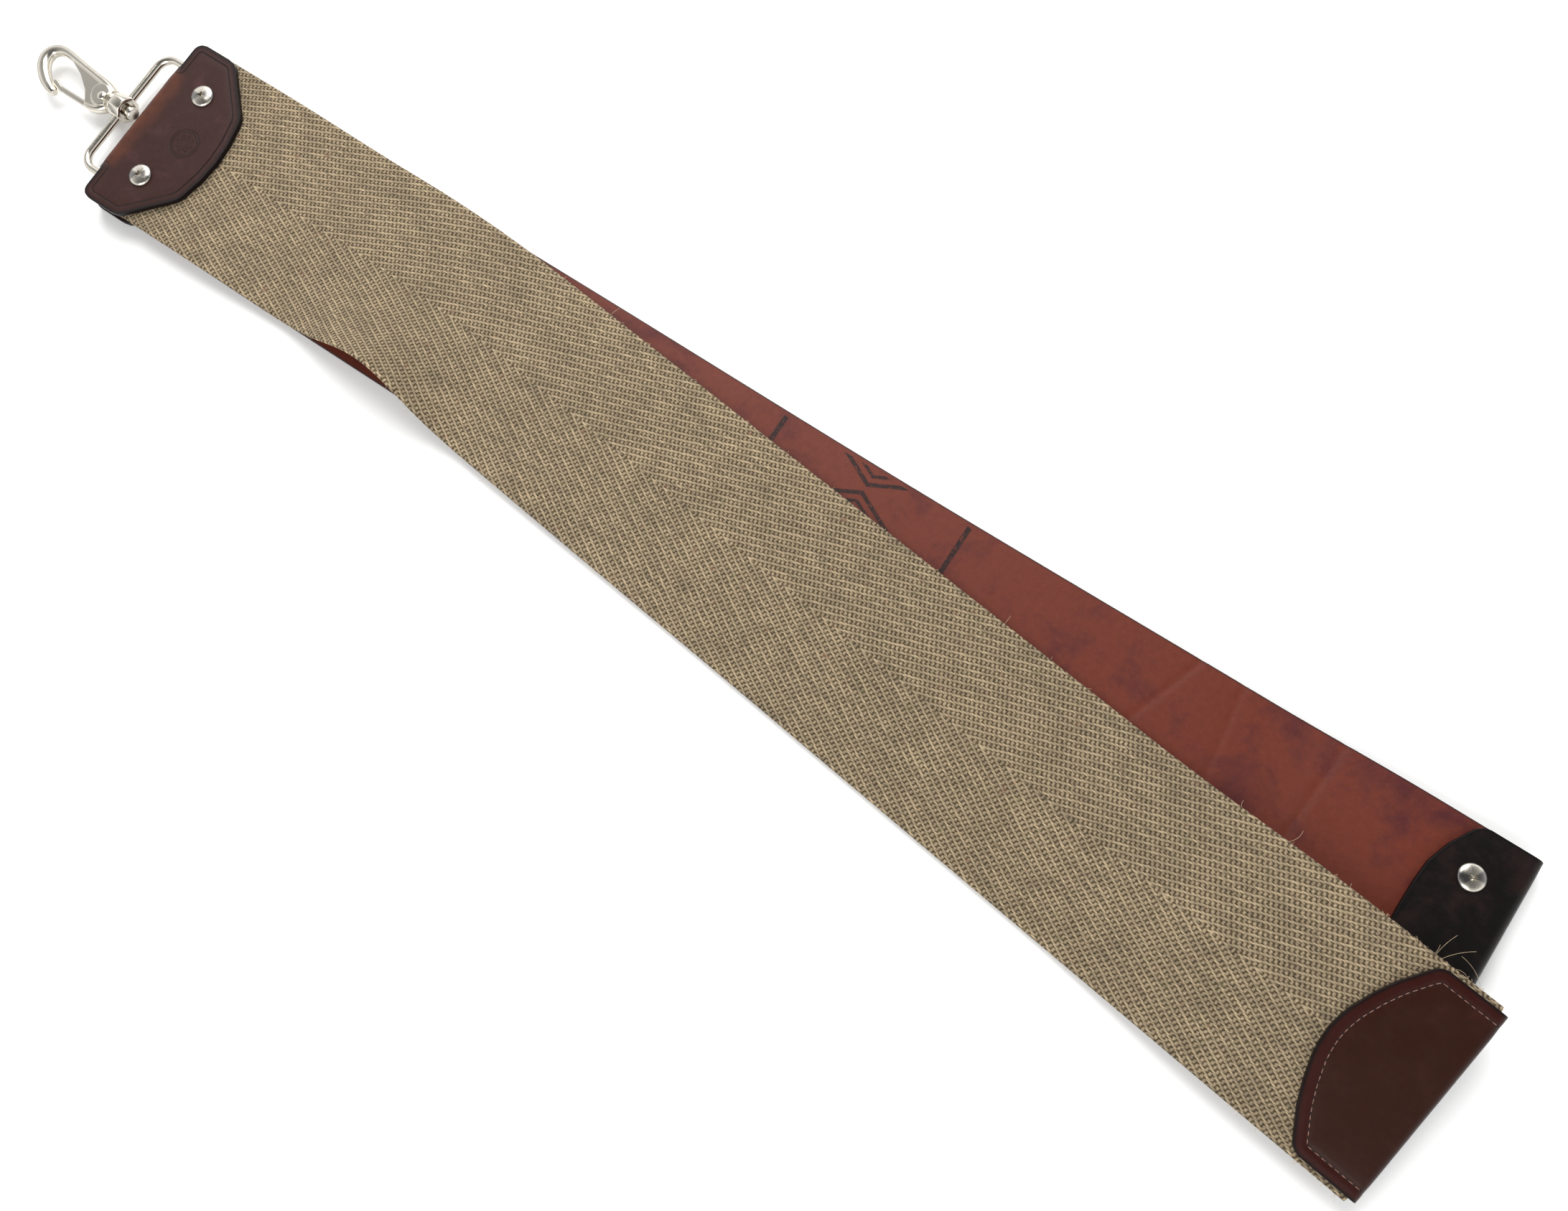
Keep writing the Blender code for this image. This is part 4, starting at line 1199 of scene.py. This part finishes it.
def spaced_along(path, pitch):
    """Points at an even pitch along a path."""
    points, left = [Vector(path[0])], pitch
    for a, b in zip(path, path[1:]):
        a, b = Vector(a), Vector(b)
        run = (b - a).length
        done = left
        while done <= run:
            points.append(a + (b - a) * (done / run))
            done += pitch
        left = done - run
    return points


class STROP_OT_cap(bpy.types.Operator):
    """Builds the linen's folded leather cap and its seam"""

    bl_idname = "strop.cap"
    bl_label = "End Cap"

    half_width = 37.7 * MM
    edge_path = ((38.8, 0), (38.3, 5.5), (37.4, 10), (34.8, 18), (31.5, 25.5), (26.8, 33.6))
    edge_corner = ((25.4, 35.8), (23.6, 37.2), (21.8, 37.7))
    seam_start, seam_side_end = 1.6 * MM, 24.4 * MM

    def seam(self, sizes):
        """The seam's line in plan: side, curved end, side."""
        side = [(-self.seam_start, self.half_width), (-self.seam_side_end, self.half_width)]
        half = side + [(-x * MM, y * MM) for x, y in reversed(self.edge_path)]
        whole = half + [(x, -y) for x, y in reversed(half[:-1])]
        return inset_path(whole, -sizes.stitch_inset)

    def execute(self, context):
        sizes, colours = context.scene.strop_sizes, context.scene.strop_colours
        inset_mm = sizes.stitch_inset / MM
        material, tree, shader, _ = leather(
            "oxblood_harness_leather",
            colours.cap[:],
            linear("#331408"),
            linear("#0D0505"),
            patch_mm=12,
            patch_share=0.05,
            roughness=0.33,
            grain_mm=0.42,
            grain=0.22,
            coat=0.03,
            shine=0.22,
            rim_mm=1.6,
        )
        # Outside the seam the leather is redder, and the seam itself is pressed in.
        rim = stored(tree, "edge_mm")
        border = mapped(tree, rim, (inset_mm - 0.9, inset_mm + 0.2), (0.7, 0.0))
        inner = mapped(tree, rim, (0.5, 1.4), (0.0, 1.0))
        overlaid(tree, shader, maths(tree, "MULTIPLY", border, inner), colours.cap_rim[:])

        def relief(x, y, edge_mm):
            """Full in the middle, pulled down along the seam, thin at the edge."""
            full = 0.16 * MM * between(edge_mm, inset_mm + 0.3, inset_mm + 5)
            seam = -0.2 * MM * pulse(edge_mm - inset_mm, 0.9)
            thin = -0.12 * MM * (1 - between(edge_mm, 0.2, 3.2))
            wrinkle = noise.noise(Vector((x / (6 * MM), y / (9 * MM), 3))) * 0.03 * MM
            return full + seam + thin + wrinkle

        placed = LinenRoute(sizes).cap_frame(sizes)
        half_gap = sizes.linen_thickness / 2 + GAP
        flaps = folded_flaps(
            "cap_flaps",
            material,
            placed,
            half_width=self.half_width,
            reach=self.edge_path + self.edge_corner,
            half_gap=half_gap,
            thickness=sizes.cap_thickness,
            rows=54,
            fold_rows=12,
            columns=112,
            relief=relief,
        )
        rounded_rim(flaps, 0.4 * MM)
        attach(flaps, "linen")
        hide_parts("linen_end_cap")
        self.stitches(context, placed, half_gap + sizes.cap_thickness)
        return {"FINISHED"}

    def stitches(self, context, placed, surface):
        """The seam's thread and its awl holes, on both faces."""
        sizes = context.scene.strop_sizes
        holes = spaced_along(self.seam(sizes), sizes.stitch_pitch)
        thread, hole_shade = bmesh.new(), bmesh.new()
        for side in (1, -1):
            level = side * (surface - 0.2 * MM)
            for a, b in zip(holes, holes[1:]):
                middle = (a + b) / 2
                along = (b - a).normalized()
                turn = Matrix.Rotation(math.atan2(along.y, along.x), 4, "Z")
                shape = Matrix.Diagonal((0.36 * sizes.stitch_pitch, 0.17 * MM, 0.15 * MM, 1))
                where = Matrix.Translation((middle.x, middle.y, level + side * 0.04 * MM))
                matrix = placed @ where @ turn @ shape
                bmesh.ops.create_icosphere(thread, subdivisions=2, radius=1.0, matrix=matrix)
            # Painted shade: a flat dark disc lies over each awl hole.
            for hole in holes:
                where = Matrix.Translation((hole.x, hole.y, level + side * 0.02 * MM))
                flat = Matrix.Diagonal((0.36 * MM, 0.36 * MM, 0.07 * MM, 1))
                bmesh.ops.create_icosphere(hole_shade, subdivisions=1, radius=1.0, matrix=placed @ where @ flat)
        seam = to_object(thread, "cap_stitches", thread_material(context.scene.strop_colours))
        hole_shade_piece = to_object(hole_shade, "cap_awl_hole_shade", awl_hole_shade_material())
        for piece in (seam, hole_shade_piece):
            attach(piece, "linen")


# Metal fittings -----------------------------------------------------------------------------------


class STROP_OT_screws(bpy.types.Operator):
    """Builds the four domed screws and finishes their posts"""

    bl_idname = "strop.screws"
    bl_label = "Screws"

    # How far each screw was turned when it came tight, in degrees.
    slots = {"hanger_screw_1": 75, "hanger_screw_2": 87, "handle_screw_1": 123, "handle_screw_2": 105}

    def execute(self, context):
        nickel = lathe_nickel_painted_fans(context.scene.strop_colours)
        for name, angle in self.slots.items():
            self.screw(name, math.radians(angle), nickel)
            give_material(name.replace("screw", "post"), nickel)
        return {"FINISHED"}

    dome = 1.5 * MM
    cross = (3.3 * MM, 0.85 * MM, 2.4 * MM)  # length, width and depth of a blade of the cross
    fan_lean = math.radians(35)

    def profile(self, radius, shank_end):
        """Half the screw's section, from the shank's end up over the dome, as radius and height."""
        shank = [(0, 0), (1.6, 0), (1.7, 0.15)]
        points = [(r * MM, shank_end + z * MM) for r, z in shank] + [(1.7 * MM, -0.25 * MM)]
        rim = [(-0.35, -0.25), (-0.1, -0.12), (0, 0.05), (-0.03, 0.2)]
        points += [(radius + inward * MM, z * MM) for inward, z in rim]
        dome_radius, dome_start, steps = radius - 0.08 * MM, 0.24 * MM, 8
        for step in range(1, steps + 1):
            a = math.pi / 2 * step / steps
            height = dome_start + (self.dome - dome_start) * math.sin(a) ** 0.9
            points.append((dome_radius * math.cos(a), height))
        return points

    def screw(self, name, angle, nickel):
        low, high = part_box(name)
        radius, base = (high.x - low.x) / 2, high.z - self.dome
        bm = bmesh.new()
        turned(bm, self.profile(radius, low.z - base), 56)
        screw = to_object(bm, name + "_polished", nickel, 30)
        # One straight slot right across, and a deeper pointed cross in the middle.
        slot = bmesh.new()
        across = Matrix.Diagonal((2 * radius + 1 * MM, 0.34 * MM, 1 * MM, 1))
        lifted = Matrix.Translation((0, 0, self.dome + 0.22 * MM))
        bmesh.ops.create_cube(slot, size=1.0, matrix=lifted @ across)
        cut(screw, to_object(slot, "groove", nickel))
        for quarter in (0, 1):
            blade = bmesh.new()
            bmesh.ops.create_cube(blade, size=1.0)
            bmesh.ops.scale(blade, vec=self.cross, verts=blade.verts)
            narrow = [vertex for vertex in blade.verts if vertex.co.z < 0]
            bmesh.ops.scale(blade, vec=(0.55, 0.8, 1.0), verts=narrow)
            turn = Matrix.Rotation(math.pi / 4 + quarter * math.pi / 2, 4, "Z")
            placed = Matrix.Translation((0, 0, self.dome)) @ turn
            bmesh.ops.transform(blade, matrix=placed, verts=blade.verts)
            cut(screw, to_object(blade, "blade", nickel))
        # Painted reflection: the mask of two dark fans across each dome, turned with the screw.
        painted_fan = screw.data.attributes.new("painted_fan", "FLOAT", "POINT")
        for vertex in screw.data.vertices:
            x, y, z = vertex.co
            around = math.atan2(y, x) + angle - self.fan_lean
            on_dome = between(math.hypot(x, y), 0.6 * MM, 1.4 * MM) * (z > 0)
            painted_fan.data[vertex.index].value = 0.85 * eased(math.cos(2 * around) * 1.6 - 0.2) * on_dome
        middle = box_middle(name)
        placed = Matrix.Translation((middle.x, middle.y, base)) @ Matrix.Rotation(angle, 4, "Z")
        screw.data.transform(placed)
        screw.data.set_sharp_from_angle(angle=math.radians(30))
        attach(screw, "strop")
        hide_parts(name)


class STROP_OT_loop(bpy.types.Operator):
    """Builds the wire loop with its eight-sided boss"""

    bl_idname = "strop.loop"
    bl_label = "Loop"

    # In millimetres: the bar and the far side in X, half the length, and the bends' radii.
    bar, outer, half_length = 5.0, -8.9, 28.35
    bar_bend, outer_bend = 2.5, 6.3
    boss_start, boss_end, boss_half = at(-12.7 * MM), at(-6.6 * MM), 5.1 * MM

    def route(self):
        """The wire's centre line in plan, all the way round, in millimetres."""
        path = []
        for centre_x, radius, start, steps in (
            (self.bar - self.bar_bend, self.bar_bend, 0, 8),
            (self.outer + self.outer_bend, self.outer_bend, 90, 12),
        ):
            for i in range(steps + 1):
                a = math.radians(start + 90 * i / steps)
                y = self.half_length - radius + radius * math.sin(a)
                path.append((centre_x + radius * math.cos(a), y))
        return path + [(x, -y) for x, y in reversed(path)]

    def boss(self, nickel):
        """The eight-sided boss, its long edges and both rims rounded."""
        boss = bmesh.new()
        eighth = math.pi / 8
        radius = self.boss_half / math.cos(eighth)
        depth = self.boss_end - self.boss_start
        bmesh.ops.create_cone(boss, cap_ends=True, segments=8, radius1=radius, radius2=radius, depth=depth)

        def is_rim(edge):
            return abs(edge.verts[0].co.z - edge.verts[1].co.z) < 1e-6

        rounding = {"segments": 3, "profile": 0.5, "affect": "EDGES", "material": -1}
        sides = [edge for edge in boss.edges if not is_rim(edge)]
        bmesh.ops.bevel(boss, geom=sides, offset=0.7 * MM, **rounding)
        rims = [edge for edge in boss.edges if is_rim(edge)]
        bmesh.ops.bevel(boss, geom=rims, offset=0.6 * MM, **rounding)
        turn = Matrix.Rotation(math.pi / 2, 4, "Y") @ Matrix.Rotation(eighth, 4, "Z")
        middle = ((self.boss_start + self.boss_end) / 2, 0, HANGER_MID)
        bmesh.ops.transform(boss, matrix=Matrix.Translation(middle) @ turn, verts=boss.verts)
        return to_object(boss, "boss", nickel)

    def execute(self, context):
        r = context.scene.strop_sizes.wire_radius
        nickel = nickel_plate(context)
        path = self.route()
        stations = []
        for i, (x, y) in enumerate(path):
            before, after = path[i - 1], path[(i + 1) % len(path)]
            along = Vector((after[0] - before[0], after[1] - before[1], 0)).normalized()
            across = Vector((-along.y, along.x, 0))
            stations.append(((at(x * MM), y * MM, HANGER_MID), across, (0, 0, 1), r, r))
        bm = bmesh.new()
        lofted(bm, stations, 24, closed=True)
        loop = to_object(bm, "wire_loop", nickel, 35)
        cut(loop, self.boss(nickel), "UNION")
        bore = bmesh.new()
        profile = [(0, -5), (2.3, -5), (2.3, 5.1), (3.7, 5.1), (3.9, 9), (0, 9)]
        centre = (self.boss_start, 0, HANGER_MID)
        turned(bore, [(r * MM, x * MM) for r, x in profile], 40, centre, (1, 0, 0))
        cut(loop, to_object(bore, "bore", nickel))
        loop.data.set_sharp_from_angle(angle=math.radians(35))
        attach(loop, "loop")
        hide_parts("hanger_loop")
        return {"FINISHED"}


class STROP_OT_snap_hook(bpy.types.Operator):
    """Builds the swivelling snap hook with its gate, rivet and spring"""

    bl_idname = "strop.snap_hook"
    bl_label = "Snap Hook"

    # The spine in plan, in millimetres: centre x, centre y, half width, half height.
    neck_end = [(-14.9, 0.4, 2.6, 2.2), (-16.6, 2.6, 2.2, 2.3), (-19.6, 4.0, 2.1, 2.35)]
    back = [(-23.5, 4.9, 2.0, 2.35), (-29, 5.55, 1.85, 2.3), (-35, 6.2, 1.8, 2.25), (-41, 6.9, 1.85, 2.2)]
    bend = [(-46.6, 7.4, 2.05, 2.2), (-50.6, 6.9, 2.35, 2.2), (-53.4, 4.9, 2.6, 2.2)]
    bend += [(-54.5, 1.7, 2.95, 2.25), (-53.6, -1.7, 2.95, 2.25), (-51.1, -4.8, 2.85, 2.2)]
    nose = [(-47.6, -7.4, 2.7, 2.15), (-44.1, -9.1, 2.3, 2.05), (-41.6, -9.7, 1.9, 1.85)]
    nose += [(-40.2, -9.9, 1.35, 1.4)]
    # The web's outline: its free edge from the bend to the neck, then three points inside the spine.
    web_edge = [(-46, 7), (-44.5, 5.9), (-41, 4.9), (-35, 2.4), (-28.3, -2.3), (-25.3, -6), (-24, -8.2)]
    web_edge += [(-20.3, -7.9), (-16.9, -6.5), (-15.2, -5)]
    web_inside = [(-15.2, 2), (-22, 5), (-32, 6)]
    web_half = 1.55
    # The lip in plan: x, y, half width.
    lip = [(-23.9, -7.6, 1.0), (-21.2, -7.4, 1.2), (-18.2, -6.2, 1.4), (-16.0, -4.2, 1.5), (-15.2, -1.5, 1.6)]
    pad_middle, pad_lean = (-19.8, -0.6, 0), math.radians(-40)
    # The turned neck, from the body outwards to the collar's face, then the stem and its head:
    # radius and place along X, the neck's counted from its face.
    neck_face = -13.0
    neck = [(0, -4.6), (2.7, -3.3), (4.3, -2.7), (4.62, -2.5), (4.75, -2.2), (4.62, -1.9), (3.6, -1.6)]
    neck += [(3.3, -1.35), (3.4, -1.1), (4.1, -0.95), (4.45, -0.75), (4.5, -0.45), (4.35, -0.15)]
    neck += [(4.1, 0), (2.0, 0)]
    stem = [(2.0, -7.3), (2.65, -7.3), (2.7, -7.1), (2.7, -4.0), (2.62, -3.65), (2.4, -3.42)]
    stem += [(2.1, -3.45), (1.2, -3.75), (0, -3.85)]
    pivot = Vector((-18.7, -0.9))
    gate_opens = math.radians(-18)
    # The gate in plan: x, y, half width.
    bar = [(-39.2, -7.05, 1.1), (-38.6, -7.06, 1.28), (-30, -7.08, 1.32), (-23.8, -7.1, 1.3)]
    bar += [(-22.2, -7.1, 0.9)]
    finger = [(-38.6, -7.2, 1.0), (-39.6, -6.95, 1.2), (-41.3, -6.4, 1.3), (-42.9, -5.95, 1.32)]
    finger += [(-43.7, -5.75, 0.9)]
    arm = [(-23.6, -7.1, 1.15), (-22.6, -7.0, 1.3), (-20.6, -4.0, 2.0), (-18.7, -0.9, 2.9), (-17.9, 0.6, 2.3)]
    arm += [(-17.4, 1.6, 1.2)]

    def hook_section(self, c, s):
        """Outer side sloped, with a soft ridge; inner side round."""
        outward = -c
        width = math.copysign(abs(c) ** 0.85, c)
        height = math.copysign(abs(s) ** 0.8, s)
        if outward > 0:
            height *= 1 - 0.30 * outward**2
        return width, height

    def remeshed(self, obj, voxel_mm, passes):
        """Merges overlapping shells, drawn in millimetres, into one skin as of a casting."""
        voxels = obj.modifiers.new("skin", "REMESH")
        voxels.mode = "VOXEL"
        voxels.voxel_size = voxel_mm
        fair = obj.modifiers.new("fair", "SMOOTH")
        fair.factor = 0.5
        fair.iterations = passes
        applied(obj)
        obj.data.transform(Matrix.Translation((FOLD_X, 0, HANGER_MID)) @ Matrix.Scale(MM, 4))
        obj.data.shade_smooth()
        return obj

    def pocket(self, nickel):
        """A tool for the pocket that the gate's inner end turns in, from shut to open."""
        places = [(self.pivot, 3.3)]
        for angle in (0, self.gate_opens):
            turn = Matrix.Rotation(angle, 2)
            for end in ((-33, -7.1), (-22.6, -7.1)):
                places.append((self.pivot + turn @ (Vector(end) - self.pivot), 1.6))
        pocket = bmesh.new()
        for centre, radius in places:
            where = Matrix.Translation((at(centre.x * MM), centre.y * MM, HANGER_MID - 1.5 * MM))
            bmesh.ops.create_circle(pocket, segments=24, radius=radius * MM, matrix=where)
        hull = bmesh.ops.convex_hull(pocket, input=pocket.verts)
        bmesh.ops.delete(pocket, geom=verts_in(hull["geom_interior"]), context="VERTS")
        bmesh.ops.dissolve_limit(pocket, angle_limit=0.01, verts=pocket.verts, edges=pocket.edges)
        risen = bmesh.ops.extrude_face_region(pocket, geom=pocket.faces[:])["geom"]
        bmesh.ops.translate(pocket, vec=(0, 0, 3.0 * MM), verts=verts_in(risen))
        bmesh.ops.recalc_face_normals(pocket, faces=pocket.faces)
        return to_object(pocket, "pocket", nickel)

    def body(self, nickel):
        bm = bmesh.new()
        spine = self.neck_end + self.back + self.bend + self.nose
        smooth = smooth_path([Vector(p) for p in spine], 4)
        stations = path_stations([p[:2] for p in smooth], [p[2:] for p in smooth], 0)
        lofted(bm, stations, 28, self.hook_section)
        # The web between the spine and the gate's root, with the pad on it.
        corners = [bm.verts.new((x, y, -self.web_half)) for x, y in self.web_edge + self.web_inside]
        risen = bmesh.ops.extrude_face_region(bm, geom=[bm.faces.new(corners)])["geom"]
        bmesh.ops.translate(bm, vec=(0, 0, 2 * self.web_half), verts=verts_in(risen))
        leaning = Matrix.Translation(self.pad_middle) @ Matrix.Rotation(self.pad_lean, 4, "Z")
        for half_height, grow in ((2.15, 0.5), (2.8, 0.0)):
            disc = {"segments": 48, "radius1": 1.0, "radius2": 1.0, "depth": 2 * half_height}
            pad = bmesh.ops.create_cone(bm, cap_ends=True, **disc)["verts"]
            spread = Matrix.Diagonal((5.0 + grow, 4.1 + grow, 1, 1))
            bmesh.ops.transform(bm, matrix=leaning @ spread, verts=pad)
        # A rounded lip closes the root below the pad.
        lip = smooth_path([Vector(p) for p in self.lip], 4)
        lofted(bm, path_stations([p[:2] for p in lip], [(p[2], 2.15) for p in lip], 0), 16)
        bmesh.ops.recalc_face_normals(bm, faces=bm.faces)
        body = self.remeshed(to_object(bm, "hook_body", nickel), 0.17, 4)
        profile = [(r * MM, (self.neck_face + x) * MM) for r, x in self.neck]
        profile += [(r * MM, x * MM) for r, x in self.stem]
        neck = bmesh.new()
        turned(neck, profile, 48, (FOLD_X, 0, HANGER_MID), (1, 0, 0))
        cut(body, to_object(neck, "neck", nickel), "UNION")
        cut(body, self.pocket(nickel))
        body.data.shade_smooth()
        body.data.set_sharp_from_angle(angle=math.radians(42))
        return body

    def gate(self, nickel):
        bm = bmesh.new()

        def boxy(c, s):
            return math.copysign(abs(c) ** 0.6, c), math.copysign(abs(s) ** 0.6, s)

        for path, half_height, height in ((self.bar, 1.0, 0), (self.finger, 1.0, 0), (self.arm, 0.33, -0.72)):
            widths = [(r, half_height) for x, y, r in path]
            lofted(bm, path_stations([(x, y) for x, y, r in path], widths, height), 20, boxy)
        return self.remeshed(to_object(bm, "gate_bar", nickel), 0.11, 2)

    def rivet(self, nickel):
        """A domed head at both ends of the shank. Points give radius and depth below the head's top."""
        low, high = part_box("gate_rivet")
        half = (high.z - low.z) / 2
        head = [(0, 0), (0.9, 0.06), (1.5, 0.22), (1.82, 0.42), (1.9, 0.62), (1.85, 0.9), (1.25, 0.9)]
        side = [(r * MM, half - depth * MM) for r, depth in head]
        bm = bmesh.new()
        turned(bm, [(r, -z) for r, z in side] + side[::-1], 40, box_middle("gate_rivet"))
        return to_object(bm, "gate_rivet_domed", nickel)

    def execute(self, context):
        nickel = nickel_plate(context)
        body = self.body(nickel)
        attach(body, "hook")
        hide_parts("snap_hook_body")
        gate = self.gate(nickel)
        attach(gate, "gate")
        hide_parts("hook_gate")
        rivet = self.rivet(nickel)
        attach(rivet, "hook")
        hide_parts("gate_rivet")
        steel = context.scene.strop_colours.steel[:]
        give_material("gate_spring", plated_metal("spring_steel_wire", steel, 0.32))
        return {"FINISHED"}


# Stage --------------------------------------------------------------------------------------------


class STROP_OT_stage(bpy.types.Operator):
    """Builds a plain floor, soft light and the camera"""

    bl_idname = "strop.stage"
    bl_label = "Stage"

    # Brightness from the horizon to straight overhead.
    room = [(0.0, 0.22), (0.10, 0.30), (0.30, 1.0), (0.50, 0.90), (0.66, 0.42), (0.86, 0.13), (1.0, 0.09)]
    room_strength = 1.35
    # Name, place, size and power in watts.
    lights = [("key_softbox", (-0.55, 0.85, 1.05), 1.1, 25.0), ("fill_softbox", (0.35, -1.1, 0.9), 1.2, 11.0)]

    def execute(self, context):
        scene = context.scene
        floor_material, tree, shader = new_material("matt_pale_floor")
        faint = noisy(tree, object_place(tree), 3.0, 2.0)
        tone = mixed(tree, faint, scene.strop_colours.floor[:], linear("#FAFAFA"))
        surface(tree, shader, {"Base Color": tone, "Roughness": 0.9, "Specular IOR Level": 0.1})
        bm = bmesh.new()
        below = Matrix.Translation((0, 0, -0.1 * MM))
        bmesh.ops.create_grid(bm, x_segments=2, y_segments=2, size=6.0, matrix=below)
        floor = to_object(bm, "floor", floor_material)

        world = bpy.data.worlds.new("soft_room")
        world.use_nodes = True
        scene.world = world
        tree = world.node_tree
        way = add(tree, "TexCoord").outputs["Generated"]
        height = add(tree, "SeparateXYZ", {0: way}).outputs["Z"]
        # A bright band between a dim horizon and a dim ceiling gives polished metal something to reflect.
        room = ramp(tree, height, self.room)
        background = tree.nodes["Background"]
        feed(tree, room, background.inputs["Color"])
        feed(tree, self.room_strength, background.inputs["Strength"])

        for name, place, size, power in self.lights:
            data = bpy.data.lights.new(name, "AREA")
            data.shape = "SQUARE"
            data.size = size
            data.energy = power
            light = bpy.data.objects.new(name, data)
            scene.collection.objects.link(light)
            light.location = place
            light.rotation_euler = (-Vector(place)).to_track_quat("-Z", "Y").to_euler()

        camera = bpy.data.objects.new("camera", bpy.data.cameras.new("camera"))
        scene.collection.objects.link(camera)
        camera.location = (0.116, -0.076, 0.428)
        camera.rotation_euler = tuple(math.radians(a) for a in (11.36, 5.01, 33.8))
        camera.data.lens = 27.63
        camera.data.sensor_width = 36.0
        camera.data.clip_start = 0.01
        scene.camera = camera
        scene.view_settings.view_transform = "Standard"
        return {"FINISHED"}


# Add-on -------------------------------------------------------------------------------------------


OPERATORS = (
    STROP_OT_leather_strap,
    STROP_OT_hanger,
    STROP_OT_handle,
    STROP_OT_cap,
    STROP_OT_linen,
    STROP_OT_screws,
    STROP_OT_loop,
    STROP_OT_snap_hook,
    STROP_OT_stage,
)


class STROP_PT_panel(bpy.types.Panel):
    """Lists the strop's pieces, sizes and colours"""

    bl_label = "Leather Strop"
    bl_idname = "STROP_PT_panel"
    bl_space_type = "VIEW_3D"
    bl_region_type = "UI"
    bl_category = "Strop"

    def draw(self, context):
        for group in (context.scene.strop_sizes, context.scene.strop_colours):
            box = self.layout.box()
            for name in group.__annotations__:
                box.prop(group, name)
        for operator in OPERATORS:
            self.layout.operator(operator.bl_idname)


CLASSES = (StropSizes, StropColours, *OPERATORS, STROP_PT_panel)


def register():
    for kind in CLASSES:
        bpy.utils.register_class(kind)
    bpy.types.Scene.strop_sizes = PointerProperty(type=StropSizes)
    bpy.types.Scene.strop_colours = PointerProperty(type=StropColours)


def unregister():
    del bpy.types.Scene.strop_sizes
    del bpy.types.Scene.strop_colours
    for kind in reversed(CLASSES):
        bpy.utils.unregister_class(kind)


def main():
    register()
    bpy.ops.strop.leather_strap()
    bpy.ops.strop.hanger()
    bpy.ops.strop.handle()
    bpy.ops.strop.cap()
    bpy.ops.strop.linen()
    bpy.ops.strop.screws()
    bpy.ops.strop.loop()
    bpy.ops.strop.snap_hook()
    bpy.ops.strop.stage()
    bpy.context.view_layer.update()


if __name__ == "__main__":
    main()
